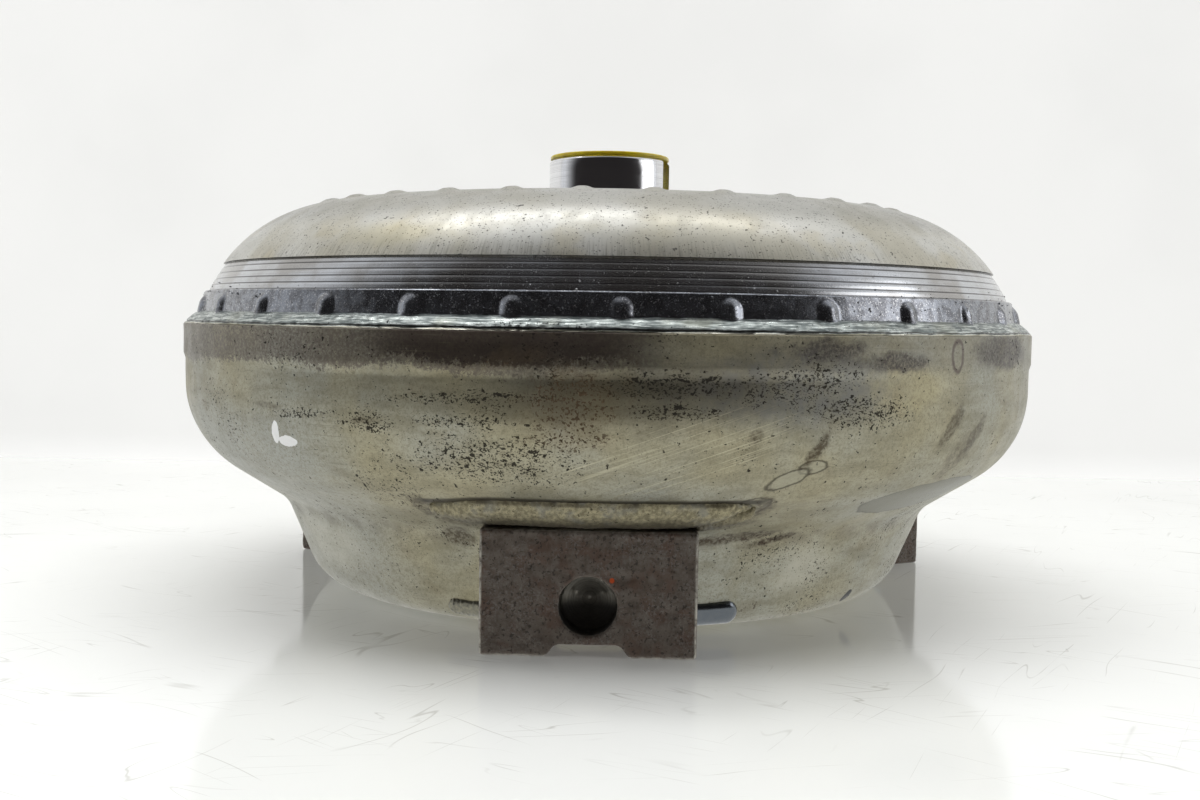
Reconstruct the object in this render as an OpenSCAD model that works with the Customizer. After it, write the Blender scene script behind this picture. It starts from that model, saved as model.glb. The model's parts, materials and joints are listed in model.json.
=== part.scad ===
// Hydrodynamic fluid coupling with stator and lock-up clutch, standing on its three drive lugs.
// Origin: rotation axis on the plane of the lug feet. +Z runs up the axis to the impeller hub.
// Angles run from -Y towards +X, so the front lug points along -Y.

/* [Front cover] */
// Outer radius at the rim
rim_r = 150; // [147:0.5:153]
// Height of the cover's top edge above the plane between impeller and turbine
rim_up = 7.5; // [6.7:0.1:8.2]
// How much smaller the wall is below the rim
wall_taper = 0.6; // [0.2:0.1:1.2]
// Wall thickness of the cover
cover_t = 5.4; // [5:0.1:5.8]
// Radius of the shoulder's arc
shoulder_r = 33.1; // [31:0.1:35]
// Distance from the cover's top edge down to the shoulder arc's centre
shoulder_down = 19.8; // [17:0.1:22]
// Slope of the cone between shoulder and neck
cone_angle = 33.2; // [31:0.1:35]
// Outer radius of the neck, taken at the height that follows
neck_r = 110.7; // [108.5:0.1:112.5]
// Height at which the neck has that radius
neck_z = 20; // [18:0.5:22]
// Angle by which the neck narrows towards the end face
neck_taper = 22.5; // [20:0.5:25]
// Radius of the hollow corner between cone and neck
neck_fillet_r = 14; // [12:0.5:16]
// Radius of the corner between neck and end face
end_fillet_r = 15.6; // [14.5:0.1:16.5]
// Height of the end face above the lug feet
end_z = 1.5; // [1.3:0.1:2.4]
// Outer radius of the dished centre of the end face
dish_r = 40; // [38:0.5:42]
// Depth of the dished centre
dish_h = 9; // [7:0.5:10]
// Radius of the pilot spigot
pilot_r = 19; // [16:0.1:24]
// How far the pilot spigot's end stays above the lug feet
pilot_end_z = 1; // [0.5:0.1:2]

/* [Drive lugs] */
// Number of drive lugs
lug_count = 3; // [3:1:3]
// Width of a lug
lug_w = 61.6; // [58:0.2:64]
// Height of a lug
lug_h = 36.3; // [34:0.1:37]
// How far a lug's flat outer face stands out from the neck
lug_out = 14.6; // [13.3:0.1:16.3]
// Rounding of a lug's upright outer edges
lug_edge = 1.5; // [0.8:0.1:2.5]
// Radius of the round hole in a lug's outer face
lug_hole_r = 8.25; // [6:0.05:9]
// Height of that hole's centre
lug_hole_z = 14.6; // [14:0.1:16]
// Depth of that hole to the start of its drill point
lug_hole_d = 8; // [6:0.5:9]
// Width of the notch between the two feet, at the bottom
notch_w = 24; // [20:0.5:26]
// Width of that notch at its top
notch_top_w = 16; // [14:0.5:18]
// Height of that notch
notch_h = 3.5; // [2.5:0.1:4.5]
// Tap-drill radius of the bolt holes in the feet
bolt_r = 3.4; // [3:0.05:4.25]
// Depth of the bolt holes
bolt_d = 18; // [12:0.5:22]
// Distance of the bolt holes from the lug's outer face
bolt_in = 9.3; // [8:0.1:10.5]
// Half the distance between a lug's two bolt holes
bolt_half = 21.4; // [20:0.1:23]

/* [Lug welds] */
// Radius of the upper bead's round section
bead_r = 12; // [11:0.1:13]
// How far the upper bead stands out from the cone
bead_out = 2.8; // [2:0.1:3.5]
// Distance up the cone from the lug's top to the middle of the upper bead
bead_up = 8.1; // [7:0.1:9]
// Half the angle between the upper bead's end centres
bead_half_angle = 17.6; // [16:0.1:20]
// Radius of the lower bead's round section
root_bead_r = 3.6; // [3:0.1:4.2]
// How far the lower bead stands out from the end fillet
root_bead_out = 2.6; // [2:0.1:3]
// Half the angle between the lower bead's end centres
root_bead_half_angle = 22; // [20:0.5:24]

/* [Impeller shell] */
// Distance from the axis to the inside of the shell's round section
torus_in_r = 46.6; // [44:0.1:48]
// How far the skirt stands inside the outside of that section
skirt_in = 0.8; // [0.4:0.1:1.6]
// Thickness of the impeller shell
shell_t = 4; // [3.4:0.1:4.6]
// Height of the skirt's lower end above the plane between impeller and turbine
skirt_up = 1.7; // [1.2:0.1:3.5]
// Height of the weld at the rim, up to the foot of the unmachined band
rim_weld_h = 4; // [3.2:0.1:4.7]
// Height of the unmachined band
band_h = 6.8; // [6:0.1:7.5]
// How much the band's outside narrows towards its top
band_taper = 1.5; // [1:0.1:2]
// Height of the turned steps above the band
turned_h = 9.55; // [8:0.05:11]
// Number of turned steps
turned_steps = 5; // [3:1:7]
// Depth of the turned zone at its foot
turned_foot = 0.25; // [0.2:0.05:0.4]
// Depth of the turned zone at its top
turned_top = 0.9; // [0.6:0.05:1.1]
// Width of the ledge at each turned step
turned_ledge = 0.3; // [0.1:0.05:0.4]
// Number of blades, and of bumps in a row
blade_n = 31; // [25:2:35]
// Angle of the first bump from the front lug
bump_angle = 3.4; // [0:0.1:11]
// Radius of a bump at its foot
bump_r = 3.4; // [3:0.05:3.8]
// Radius of a bump at its top
bump_top_r = 1.8; // [1:0.05:2.4]
// How far a bump stands out
bump_out = 1.4; // [0.8:0.1:1.8]
// How far above the band's foot a bump's centre is
bump_z = 3.5; // [3:0.1:4]
// Distance of the crown row of bumps from the top of the dome
crown_bump_off = 8.5; // [4:0.5:14]
// How far a crown bump stands out
crown_bump_out = 0.8; // [0.5:0.1:1.2]
// Radius at which the shell meets the hub's flange
hub_flange_r = 58; // [56:0.5:60]

/* [Hub] */
// Outer radius of the hub
hub_r = 22; // [21.5:0.05:23]
// How far the hub's metal end stands above the top of the dome
hub_up = 19; // [16:0.1:22]
// Radius of the hub's bore
hub_bore_r = 17.5; // [16.5:0.05:18]
// Width of a drive slot
slot_w = 12; // [10:0.1:14]
// Depth of a drive slot
slot_d = 14; // [10:0.5:16]
// Angle of the drive slots from the front lug
slot_angle = 79; // [0:1:180]
// Thickness of the plug's rim
plug_rim_t = 1.6; // [1.2:0.1:2.4]
// Length of the plug's barrel
plug_len = 16; // [12:0.5:20]
// Wall of the plug
plug_t = 1.4; // [1:0.1:2]

/* [Torus inside] */
// Outer radius of the core ring's round section
core_r = 20; // [19:0.1:20.5]
// Sheet thickness of the core rings
core_t = 1.5; // [1:0.1:2]
// Thickness of the blades
blade_t = 1.2; // [0.8:0.1:1.6]
// Bow radius of the impeller blades
impeller_bow = 150; // [120:5:200]
// Bow radius of the turbine blades
turbine_bow = 80; // [70:1:100]
// Half the gap between impeller and turbine
mid_gap = 1; // [0.6:0.1:1.5]
// Gap between the turbine shell and the impeller shell, where the two sections are round
turbine_gap = 1.4; // [1.2:0.1:2.4]
// Gap between the turbine shell and the damper below it
turbine_low_gap = 2.4; // [0.3:0.1:3]
// Thickness of the turbine shell
turbine_t = 2; // [1.6:0.1:2.4]
// Number of turbine blades
turbine_blade_n = 29; // [25:2:33]
// Sheet thickness of the turbine shell's inner flange
turbine_flange_t = 2; // [1.6:0.1:2.2]
// Number of rivets in the turbine's flange
rivet_n = 12; // [8:2:16]
// Distance of those rivets from the edge of the turbine hub's flange
rivet_in = 6; // [5:0.5:7]
// Shank radius of the turbine rivets
rivet_r = 2.5; // [2:0.1:3]
// Head radius of the turbine rivets
rivet_head_r = 4.2; // [3.5:0.1:4.5]
// Head height of the turbine rivets
rivet_head_h = 2.2; // [1.6:0.1:2.4]

/* [Turbine hub] */
// Outer radius of the turbine hub's barrel
barrel_r = 25; // [24:0.1:26]
// Thickness of its flange
barrel_flange_t = 8; // [6:0.5:10]
// Inner radius of the splines for the input shaft
input_spline_r = 13.5; // [13:0.1:14]
// Depth of the splines for the input shaft
input_spline_d = 1.5; // [1:0.1:1.8]
// Number of splines for the input shaft
input_spline_n = 24; // [20:1:28]
// Length of the bush below the splines
bush_len = 10; // [8:0.5:12]
// Bore radius of the bush
bush_bore_r = 11; // [10:0.1:12]
// Outer radius of the bush
bush_r = 13.2; // [12.8:0.1:14]
// Thickness of the thrust washer at the cover
washer_t = 4; // [3:0.1:4.5]
// Outer radius of that washer
washer_r = 31; // [29:0.5:33]

/* [Stator] */
// Height of the stator wheel
stator_h = 24; // [23:0.2:24.6]
// Outer radius of the stator's hub
stator_hub_r = 54; // [53:0.1:55]
// Gap between the stator's shroud and the core rings
stator_gap = 0.8; // [0.6:0.1:2]
// Thickness of the stator's shroud
stator_shroud_t = 2.2; // [1.6:0.1:3]
// Number of stator vanes
vane_n = 15; // [11:2:17]
// Angle of the vanes to the axis
vane_angle = 28; // [20:1:32]
// Outer radius of the freewheel's outer race
outer_race_r = 41; // [40.5:0.1:42]
// Inner radius of the pads of the outer race
race_pad_r = 30.4; // [29.8:0.1:31]
// Radius of the inner race
inner_race_r = 26.4; // [26:0.1:26.8]
// Radius of a freewheel roller
roller_r = 3.2; // [2.8:0.05:3.4]
// Number of freewheel rollers
roller_n = 10; // [8:1:10]
// Height of the races and rollers
race_h = 18.6; // [16:0.2:19]
// Thickness of the stator's end caps
cap_t = 2.6; // [2.2:0.1:2.6]
// Inner radius of the end caps
cap_bore_r = 22.5; // [21.5:0.1:23]
// Outer radius of the end caps
cap_r = 45; // [44:0.5:47]
// Inner radius of the splines for the stator shaft
stator_spline_r = 19; // [18.6:0.1:19.6]
// Depth of the splines for the stator shaft
stator_spline_d = 1.6; // [1:0.1:2]
// Number of splines for the stator shaft
stator_spline_n = 28; // [24:1:32]

/* [Thrust bearings] */
// Inner radius of the bearing washers
bearing_in_r = 26; // [25:0.5:27]
// Outer radius of the bearing washers
bearing_out_r = 38; // [37:0.5:39]
// Thickness of a bearing washer
bearing_washer_t = 1; // [0.8:0.05:1.2]
// Radius of a needle
needle_r = 1; // [0.8:0.05:1.2]
// Number of needles
needle_n = 24; // [18:1:28]
// Length of a needle
needle_len = 7; // [6:0.1:8]
// Gap between surfaces that roll or slide on each other
run_gap = 0.1; // [0.06:0.01:0.2]

/* [Lock-up clutch] */
// Thickness of the outer carrier's wall
carrier_t = 3; // [2.4:0.1:3.4]
// Height of the outer carrier above the cover's floor
carrier_h = 25.6; // [25:0.2:27]
// Number of carrier slots and plate tabs
tab_n = 12; // [8:1:16]
// Width of a plate tab
tab_w = 9.4; // [8:0.1:11]
// Side clearance of a plate tab in its slot
tab_gap = 0.3; // [0.2:0.05:0.5]
// Height of the piston's rest above the floor
piston_rest = 1.2; // [0.8:0.1:1.6]
// Thickness of the piston's disc
piston_t = 4; // [3.6:0.1:4.4]
// Height of the piston's pressing ring
piston_ring_h = 2; // [1.6:0.1:2.4]
// Outer radius of the piston's guide ring
guide_r = 50; // [48:0.5:52]
// Width of the guide ring
guide_w = 5; // [4:0.1:6]
// Section of the piston's seals
seal_w = 2; // [1.6:0.1:2.2]
// Radial clearance of the seals
seal_gap = 0.1; // [0.05:0.01:0.1]
// Thickness of a steel plate
steel_t = 2; // [1.8:0.1:2.2]
// Core thickness of a friction plate
friction_core_t = 1; // [0.8:0.05:1.2]
// Thickness of one friction lining
lining_t = 0.6; // [0.5:0.05:0.7]
// Gap between neighbouring plates when the clutch is open
plate_gap = 0.4; // [0.3:0.02:0.5]
// Thickness of the backing plate
backing_t = 4; // [3.6:0.1:4.2]
// Width of the friction faces
face_w = 11.5; // [10:0.5:12.5]
// Thickness of the snap ring
snap_t = 1.4; // [1.2:0.1:1.6]

/* [Damper] */
// Gap between the inner carrier's drum and the friction faces
drum_gap = 4; // [3:0.1:5]
// Wall of the inner carrier's drum
inner_drum_t = 3; // [2.6:0.1:3.4]
// Sheet thickness of the damper's plates
damper_t = 2; // [1.6:0.1:2.2]
// Thickness of the damper's flange
damper_flange_t = 3; // [2.6:0.1:3.4]
// Gap between the damper's flange and the drum
damper_flange_gap = 7; // [6.5:0.5:8]
// Gap on each side of the damper's flange
damper_gap = 2; // [1.5:0.1:2.5]
// Distance of the springs' middle line from the edge of the damper's flange
spring_in = 11.5; // [11:0.1:12]
// Number of springs
spring_n = 6; // [4:1:6]
// Length of a spring
spring_len = 27; // [24:0.5:28]
// Outer radius of a spring
spring_r = 7; // [6:0.1:7.2]
// Wire radius of a spring
wire_r = 1.7; // [1.3:0.05:1.9]
// Turns in a spring
spring_turns = 5; // [4:1:6]

/* [Hidden] */
$fn = 96;

// Cover floor, with its dished centre
floor_z = end_z + cover_t;
dish_slope = 6;
dish_shift = 2.5;
dish_top_z = end_z + dish_h;
dish_floor_z = dish_top_z + cover_t;

// Clutch stack, from the floor up
end_c = [
    neck_r - (neck_z - end_z - end_fillet_r) * tan(neck_taper) - end_fillet_r / cos(neck_taper),
    end_z + end_fillet_r
];
carrier_r = end_c[0] - 0.7;
carrier_in_r = carrier_r - carrier_t;
piston_z = floor_z + piston_rest;
press_z = piston_z + piston_t + piston_ring_h;
friction_t = friction_core_t + 2 * lining_t;
steel_1_z = press_z + plate_gap;
friction_1_z = steel_1_z + steel_t + plate_gap;
steel_2_z = friction_1_z + friction_t + plate_gap;
friction_2_z = steel_2_z + steel_t + plate_gap;
backing_z = friction_2_z + friction_t + plate_gap;
snap_z = backing_z + backing_t + 0.1;
tab_r = carrier_r - 0.6;
plate_r = carrier_in_r - 2.3;
face_out_r = plate_r - 2.2;
face_in_r = face_out_r - face_w;
slot_low_z = piston_z + piston_t + 1.4;
groove_d = 1.5;

// Damper, above the clutch's inner carrier
inner_drum_r = face_in_r - drum_gap;
drum_in_r = inner_drum_r - inner_drum_t;
drum_z = steel_1_z + 0.8;
drum_flange_z = backing_z + 0.4;
damper_low_z = drum_flange_z + damper_t;
flange_z = damper_low_z + damper_t + damper_gap;
damper_top_z = flange_z + damper_flange_t + damper_gap;
damper_flange_r = drum_in_r - damper_flange_gap;
spring_pitch_r = damper_flange_r - spring_in;
spring_z = flange_z + damper_flange_t / 2;
damper_rivet_pitch_r = (damper_flange_r + drum_in_r) / 2;
damper_rivet_r = 2;
damper_rivet_n = 6;
damper_plate_r = drum_in_r;
window_len = spring_len + 0.6;
window_w = 2 * spring_r + 1.2;
friction_tab_in_r = drum_in_r + 0.6;
friction_in_r = inner_drum_r + 0.5;

// Torus, above the damper, and skirt
skirt_r = rim_r - cover_t;
dome_r = (skirt_r + skirt_in - torus_in_r) / 2;
tube_r = torus_in_r + dome_r;
passage_r = dome_r - shell_t;
turbine_r = passage_r - turbine_gap;
turbine_passage_r = turbine_r - turbine_t;
mid_z = damper_top_z + damper_t + turbine_low_gap + turbine_r;
skirt_z = mid_z + skirt_up;
crown_bump_r = tube_r + crown_bump_off;
hub_end_z = mid_z + dome_r + hub_up;

// Cover profile
rim_edge_z = mid_z + rim_up;
band_z = rim_edge_z + rim_weld_h;
wall_r = rim_r - wall_taper;
shoulder_c = [wall_r - shoulder_r, rim_edge_z - shoulder_down];
cone_n = [sin(cone_angle), -cos(cone_angle)];
cone_top = shoulder_c + shoulder_r * cone_n;
neck_n = [cos(neck_taper), -sin(neck_taper)];
cone_off = cone_top * cone_n + neck_fillet_r;
neck_off = [neck_r, neck_z] * neck_n + neck_fillet_r;
corner_c = [
    cos(cone_angle) * neck_off - sin(neck_taper) * cone_off,
    sin(cone_angle) * neck_off - cos(neck_taper) * cone_off
] / cos(cone_angle + neck_taper);
taper_low = 2;
taper_top = rim_edge_z - 9.8;

// Drive lugs
lug_pitch = 360 / lug_count;
lug_face_r = neck_r + lug_out;
lug_under = 8;
bolt_row_r = lug_face_r - bolt_in;

// Height of the cone's outside at radius r
function cone_z(r) = cone_top[1] - (cone_top[0] - r) * tan(cone_angle);
// Outer radius of the dome at height z
function dome_at(z) = tube_r + sqrt(dome_r * dome_r - (z - mid_z) * (z - mid_z));

// Stator, centred on the middle plane
stator_z = mid_z - stator_h / 2 + 0.7;
race_gap = 0.2;
race_z = stator_z + cap_t + race_gap;
cap_low_z = stator_z;
cap_top_z = race_z + race_h + race_gap;
roller_gap = 0.3;
roller_pitch_r = inner_race_r + roller_gap + roller_r;
bearing_h = 2 * bearing_washer_t + 2 * needle_r + 2 * run_gap;
hub_top_z = cap_low_z - bearing_h;
lower_bearing_z = hub_top_z;
upper_bearing_z = cap_top_z + cap_t;
hub_boss_z = upper_bearing_z + bearing_h;
hub_boss_r = bearing_out_r + 2;
stator_shroud_r = tube_r - core_r - stator_gap;
stator_box_r = stator_shroud_r + 4.8;
stator_box_gap = 2.5;
lower_needle_z = lower_bearing_z + bearing_washer_t + run_gap + needle_r;
upper_needle_z = upper_bearing_z + bearing_washer_t + run_gap + needle_r;

// Freewheel pockets: room for the spring behind the roller, and the ramp
spring_room = 5.4;
ramp_run = 0.9;
ramp_rise = 0.25;

// Turbine hub
barrel_flange_r = tube_r - turbine_r;
rivet_pitch_r = barrel_flange_r - rivet_in;
turbine_flange_z = hub_top_z - 1.9;
barrel_flange_z = turbine_flange_z - barrel_flange_t;
barrel_z = dish_floor_z + washer_t + 2 * run_gap;
turbine_boss_r = 39.8;
turbine_cut_z = turbine_flange_z + turbine_flange_t;

// Hub flange heights, level with the shell's edge
flange_top_z = mid_z + sqrt(dome_r * dome_r - (tube_r - hub_flange_r) * (tube_r - hub_flange_r));
flange_low_z = mid_z + sqrt(passage_r * passage_r - (tube_r - hub_flange_r) * (tube_r - hub_flange_r));
hub_root_r = 8;
hub_chamfer = 0.8;

// Turn a piece that points along -Y to the angle t
module at(t) rotate([0, 0, t]) children();

// Ring with a square section
module ring(r_in, r_out, z, h) {
    translate([0, 0, z]) difference() {
        cylinder(r = r_out, h = h);
        translate([0, 0, -1]) cylinder(r = r_in, h = h + 2);
    }
}

// Points along an arc, from angle a0 to a1
function arc(c, r, a0, a1, steps) =
    [for (k = [0:steps]) let (a = a0 + (a1 - a0) * k / steps) c + r * [cos(a), sin(a)]];

// Outline of the cover from the rim's top down to the axis, set in by d
function cover_outline(d) =
    let (
        corner_r = neck_fillet_r + d,
        end_r = end_fillet_r - d
    )
    concat(
        [[rim_r - d, rim_edge_z + (d > 0 ? 1 : 0)], [rim_r - d, taper_top],
            [wall_r - d, taper_top - taper_low]],
        arc(shoulder_c, shoulder_r - d, 0, cone_angle - 90, 12),
        arc(corner_c, corner_r, 90 + cone_angle, 180 - neck_taper, 4),
        arc(end_c, end_r, -neck_taper, -90, 10)
    );

module cover_solid() {
    rotate_extrude() polygon(concat([[0, rim_edge_z]], cover_outline(0), [[0, end_z]]));
}

module front_cover() {
    color([0.56, 0.55, 0.48]) rotate_extrude() polygon(concat(
        cover_outline(0),
        [[dish_r, end_z], [dish_r - dish_slope, dish_top_z], [0, dish_top_z],
            [0, dish_floor_z], [dish_r - dish_slope + dish_shift, dish_floor_z],
            [dish_r + dish_shift, floor_z]],
        [for (k = [len(cover_outline(cover_t)) - 1:-1:1]) cover_outline(cover_t)[k]],
        [[rim_r - cover_t, rim_edge_z]]
    ));
}

module pilot_boss() {
    chamfer = 1;
    color([0.5, 0.5, 0.48]) rotate_extrude() polygon([
        [0, pilot_end_z + 5], [4, pilot_end_z + 5], [4, pilot_end_z],
        [pilot_r - chamfer, pilot_end_z], [pilot_r, pilot_end_z + chamfer],
        [pilot_r, dish_top_z], [0, dish_top_z]
    ]);
}

// Drive lugs
module lug_block() {
    translate([-lug_w / 2, -lug_face_r, 0]) cube([lug_w, lug_face_r - neck_r + lug_under, lug_h]);
}

module upright_edge(side) {
    translate([side * lug_w / 2, -lug_face_r, -1]) rotate([0, 0, 45])
        translate([-lug_edge / 2, -lug_edge / 2, 0]) cube([lug_edge, lug_edge, lug_h + 2]);
}

module drive_lug() {
    point_h = lug_hole_r * tan(31);
    over = 10;
    difference() {
        lug_block();
        cover_solid();
        for (side = [-1, 1]) upright_edge(side);
        translate([0, -lug_face_r - 1, lug_hole_z]) rotate([-90, 0, 0])
            cylinder(r = lug_hole_r, h = lug_hole_d + 1);
        translate([0, -lug_face_r + lug_hole_d, lug_hole_z]) rotate([-90, 0, 0])
            cylinder(r1 = lug_hole_r, r2 = 0, h = point_h);
        translate([0, over - neck_r, 0]) rotate([90, 0, 0]) linear_extrude(lug_out + 2 * over) polygon([
            [-notch_w / 2, -1], [notch_w / 2, -1], [notch_w / 2, 0],
            [notch_top_w / 2, notch_h], [-notch_top_w / 2, notch_h], [-notch_w / 2, 0]
        ]);
        for (side = [-1, 1]) translate([side * bolt_half, -bolt_row_r, -1])
            cylinder(r = bolt_r, h = bolt_d + 1);
    }
}

module drive_lug_front() color([0.3, 0.27, 0.24]) drive_lug();
module drive_lug_right() color([0.3, 0.27, 0.24]) at(lug_pitch) drive_lug();
module drive_lug_left() color([0.3, 0.27, 0.24]) at(2 * lug_pitch) drive_lug();

// Weld bead along an arc about the axis, with ends that look round from outside
module bead(c, r, half, end_h) {
    reach = c[0] * sin(half);
    intersection() {
        rotate([0, 0, -90 - half]) rotate_extrude(angle = 2 * half) difference() {
            polygon(arc(c, r, 0, 360 * 23 / 24, 23));
            polygon(concat([[0, rim_edge_z]], cover_outline(0), [[0, end_z]]));
        }
        translate([0, 0, c[1] - r]) rotate([90, 0, 0]) linear_extrude(rim_r) union() {
            translate([-reach + end_h, -rim_r]) square([2 * (reach - end_h), 2 * rim_r]);
            for (side = [-1, 1]) translate([side * (reach - end_h), end_h]) circle(r = end_h);
        }
    }
}

module lug_welds_upper() {
    mid_r = cone_top[0] - (cone_top[1] - lug_h) / tan(cone_angle) + bead_up * cos(cone_angle);
    c = [mid_r, cone_z(mid_r)] + (bead_out - bead_r) * cone_n;
    color([0.6, 0.57, 0.46]) for (i = [0:lug_count - 1]) at(i * lug_pitch) difference() {
        bead(c, bead_r, bead_half_angle, 5);
        lug_block();
    }
}

module lug_welds_lower() {
    c = end_c + (end_fillet_r + root_bead_out - root_bead_r) * [sin(45), -cos(45)];
    color([0.5, 0.5, 0.48]) for (i = [0:lug_count - 1]) at(i * lug_pitch) difference() {
        bead(c, root_bead_r, root_bead_half_angle, 3.5);
        lug_block();
    }
}

// Outside of the turned steps, from the top one down
function turned_points() =
    let (z0 = band_z + band_h, step = turned_h / turned_steps)
    [for (k = [turned_steps - 1:-1:0], e = [1, 0])
        let (
            z = z0 + (k + e) * step,
            depth = turned_foot + (turned_top - turned_foot) * (k + e) / turned_steps
        )
        [dome_at(z) - depth + (e - 0.5) * turned_ledge, z]];

// Section of the impeller shell, round the outside and back along the inside
module shell_section() {
    c = [tube_r, mid_z];
    turned_top_z = band_z + band_h + turned_h;
    polygon(concat(
        arc(c, dome_r, acos((hub_flange_r - tube_r) / dome_r),
            asin((turned_top_z - mid_z) / dome_r), 24),
        turned_points(),
        [[skirt_r - band_taper, band_z + band_h], [skirt_r, band_z], [skirt_r, skirt_z]],
        arc(c, passage_r, asin((skirt_z - mid_z) / passage_r),
            acos((hub_flange_r - tube_r) / passage_r), 28)
    ));
}

// Low round bump along -Y, with its foot sunk in the shell
module bump(out) {
    sunk = 1.5;
    rotate([90, 0, 0]) translate([0, 0, -sunk]) cylinder(r1 = bump_r, r2 = bump_top_r, h = sunk + out);
}

module impeller_shell() {
    crown_a = acos((crown_bump_r - tube_r) / dome_r);
    crown_z = mid_z + dome_r * sin(crown_a);
    color([0.62, 0.62, 0.6]) union() {
        rotate_extrude() shell_section();
        for (i = [0:blade_n - 1]) at(bump_angle + i * 360 / blade_n)
            translate([0, -(skirt_r - band_taper * bump_z / band_h), band_z + bump_z]) bump(bump_out);
        for (i = [0:blade_n - 1]) at(bump_angle + (i + 0.5) * 360 / blade_n)
            translate([0, -crown_bump_r, crown_z]) rotate([-crown_a, 0, 0]) bump(crown_bump_out);
    }
}

module rim_weld() {
    color([0.66, 0.68, 0.7]) rotate_extrude() polygon([
        [skirt_r, rim_edge_z], [rim_r, rim_edge_z], [skirt_r, band_z]
    ]);
}

module impeller_hub() {
    root_c = [hub_r + hub_root_r, flange_top_z + hub_root_r];
    color([0.75, 0.75, 0.76]) difference() {
        rotate_extrude() difference() {
            polygon([
                [hub_bore_r, hub_boss_z], [hub_boss_r, hub_boss_z], [hub_boss_r, flange_low_z],
                [hub_flange_r, flange_low_z], [hub_flange_r, flange_top_z],
                [root_c[0], flange_top_z], [root_c[0], root_c[1]], [hub_r, root_c[1]],
                [hub_r, hub_end_z - hub_chamfer], [hub_r - hub_chamfer, hub_end_z],
                [hub_bore_r, hub_end_z]
            ]);
            translate(root_c) circle(r = hub_root_r);
        }
        at(slot_angle) translate([-slot_w / 2, -hub_r - 1, hub_end_z - slot_d])
            cube([slot_w, 2 * hub_r + 2, slot_d + 1]);
    }
}

module hub_weld() {
    rise = 2;
    color([0.6, 0.6, 0.58]) rotate_extrude() polygon([
        [hub_flange_r, flange_top_z], [hub_flange_r - 2 * rise, flange_top_z],
        [hub_flange_r - rise, flange_top_z + rise / 2], [hub_flange_r, flange_top_z + rise / 2]
    ]);
}

// Curved blade sheets, cut to the ring-shaped passage
module blade_sheets(count, bow, t, low, high) {
    for (i = [0:count - 1]) at(bump_angle + i * 360 / count)
        translate([0, 0, low]) linear_extrude(high - low) intersection() {
            translate([-bow, -tube_r]) difference() {
                circle(r = bow + t / 2);
                circle(r = bow - t / 2);
            }
            translate([-tube_r / 2, -tube_r - dome_r]) square([tube_r, 2 * dome_r]);
        }
}

module passage(r, low, high) {
    rotate_extrude() difference() {
        intersection() {
            translate([tube_r, mid_z]) circle(r = r);
            translate([0, low]) square([rim_r, high - low]);
        }
        translate([tube_r, mid_z]) circle(r = core_r);
        translate([0, stator_z - stator_box_gap]) square([stator_box_r, stator_h + 2 * stator_box_gap]);
        square([hub_flange_r, mid_z * 2]);
    }
}

module impeller_blades() {
    low = mid_z + mid_gap;
    high = mid_z + passage_r;
    color([0.7, 0.7, 0.68]) intersection() {
        blade_sheets(blade_n, impeller_bow, blade_t, low - 1, high + 1);
        passage(passage_r, low, high);
    }
}

module core_section() {
    translate([tube_r, mid_z]) difference() {
        circle(r = core_r);
        circle(r = core_r - core_t);
    }
}

module impeller_core_ring() {
    color([0.72, 0.7, 0.62]) rotate_extrude() intersection() {
        core_section();
        translate([0, mid_z + mid_gap]) square([rim_r, core_r]);
    }
}

module turbine_blades() {
    low = mid_z - turbine_passage_r;
    high = mid_z - mid_gap;
    color([0.7, 0.7, 0.68]) intersection() {
        blade_sheets(turbine_blade_n, turbine_bow, blade_t, low - 1, high + 1);
        passage(turbine_passage_r, low, high);
    }
}

module turbine_core_ring() {
    color([0.72, 0.7, 0.62]) rotate_extrude() intersection() {
        core_section();
        translate([0, mid_z - mid_gap - core_r]) square([rim_r, core_r]);
    }
}

module rivet_holes(r) {
    for (i = [0:rivet_n - 1]) at(i * 360 / rivet_n) translate([0, -rivet_pitch_r, 0])
        cylinder(r = r, h = 3 * mid_z);
}

module turbine_shell() {
    color([0.68, 0.68, 0.66]) difference() {
        rotate_extrude() union() {
            intersection() {
                translate([tube_r, mid_z]) difference() {
                    circle(r = turbine_r);
                    circle(r = turbine_passage_r);
                }
                polygon([
                    [0, mid_z - turbine_r], [0, turbine_cut_z], [tube_r, turbine_cut_z],
                    [tube_r, mid_z - mid_gap], [rim_r, mid_z - mid_gap], [rim_r, mid_z - turbine_r]
                ]);
            }
            translate([turbine_boss_r + 0.2, turbine_flange_z])
                square([tube_r - turbine_r + 4.5 - turbine_boss_r, turbine_flange_t]);
        }
        rivet_holes(rivet_r);
    }
}

// Splines cut into a bore
module spline_cuts(r, d, n, z, h) {
    w = PI * r / n;
    for (i = [0:n - 1]) rotate([0, 0, i * 360 / n]) translate([0, -w / 2, z])
        cube([r + d, w, h]);
}

module turbine_hub() {
    spline_z = barrel_z + bush_len;
    color([0.66, 0.66, 0.66]) difference() {
        rotate_extrude() polygon([
            [input_spline_r, barrel_z], [barrel_r, barrel_z], [barrel_r, barrel_flange_z],
            [barrel_flange_r, barrel_flange_z], [barrel_flange_r, turbine_flange_z],
            [turbine_boss_r, turbine_flange_z], [turbine_boss_r, hub_top_z],
            [input_spline_r, hub_top_z]
        ]);
        spline_cuts(input_spline_r, input_spline_d, input_spline_n, spline_z, hub_top_z);
        translate([0, 0, barrel_z - 1]) cylinder(r = bush_r, h = bush_len + 1);
        rivet_holes(rivet_r);
    }
}

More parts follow.
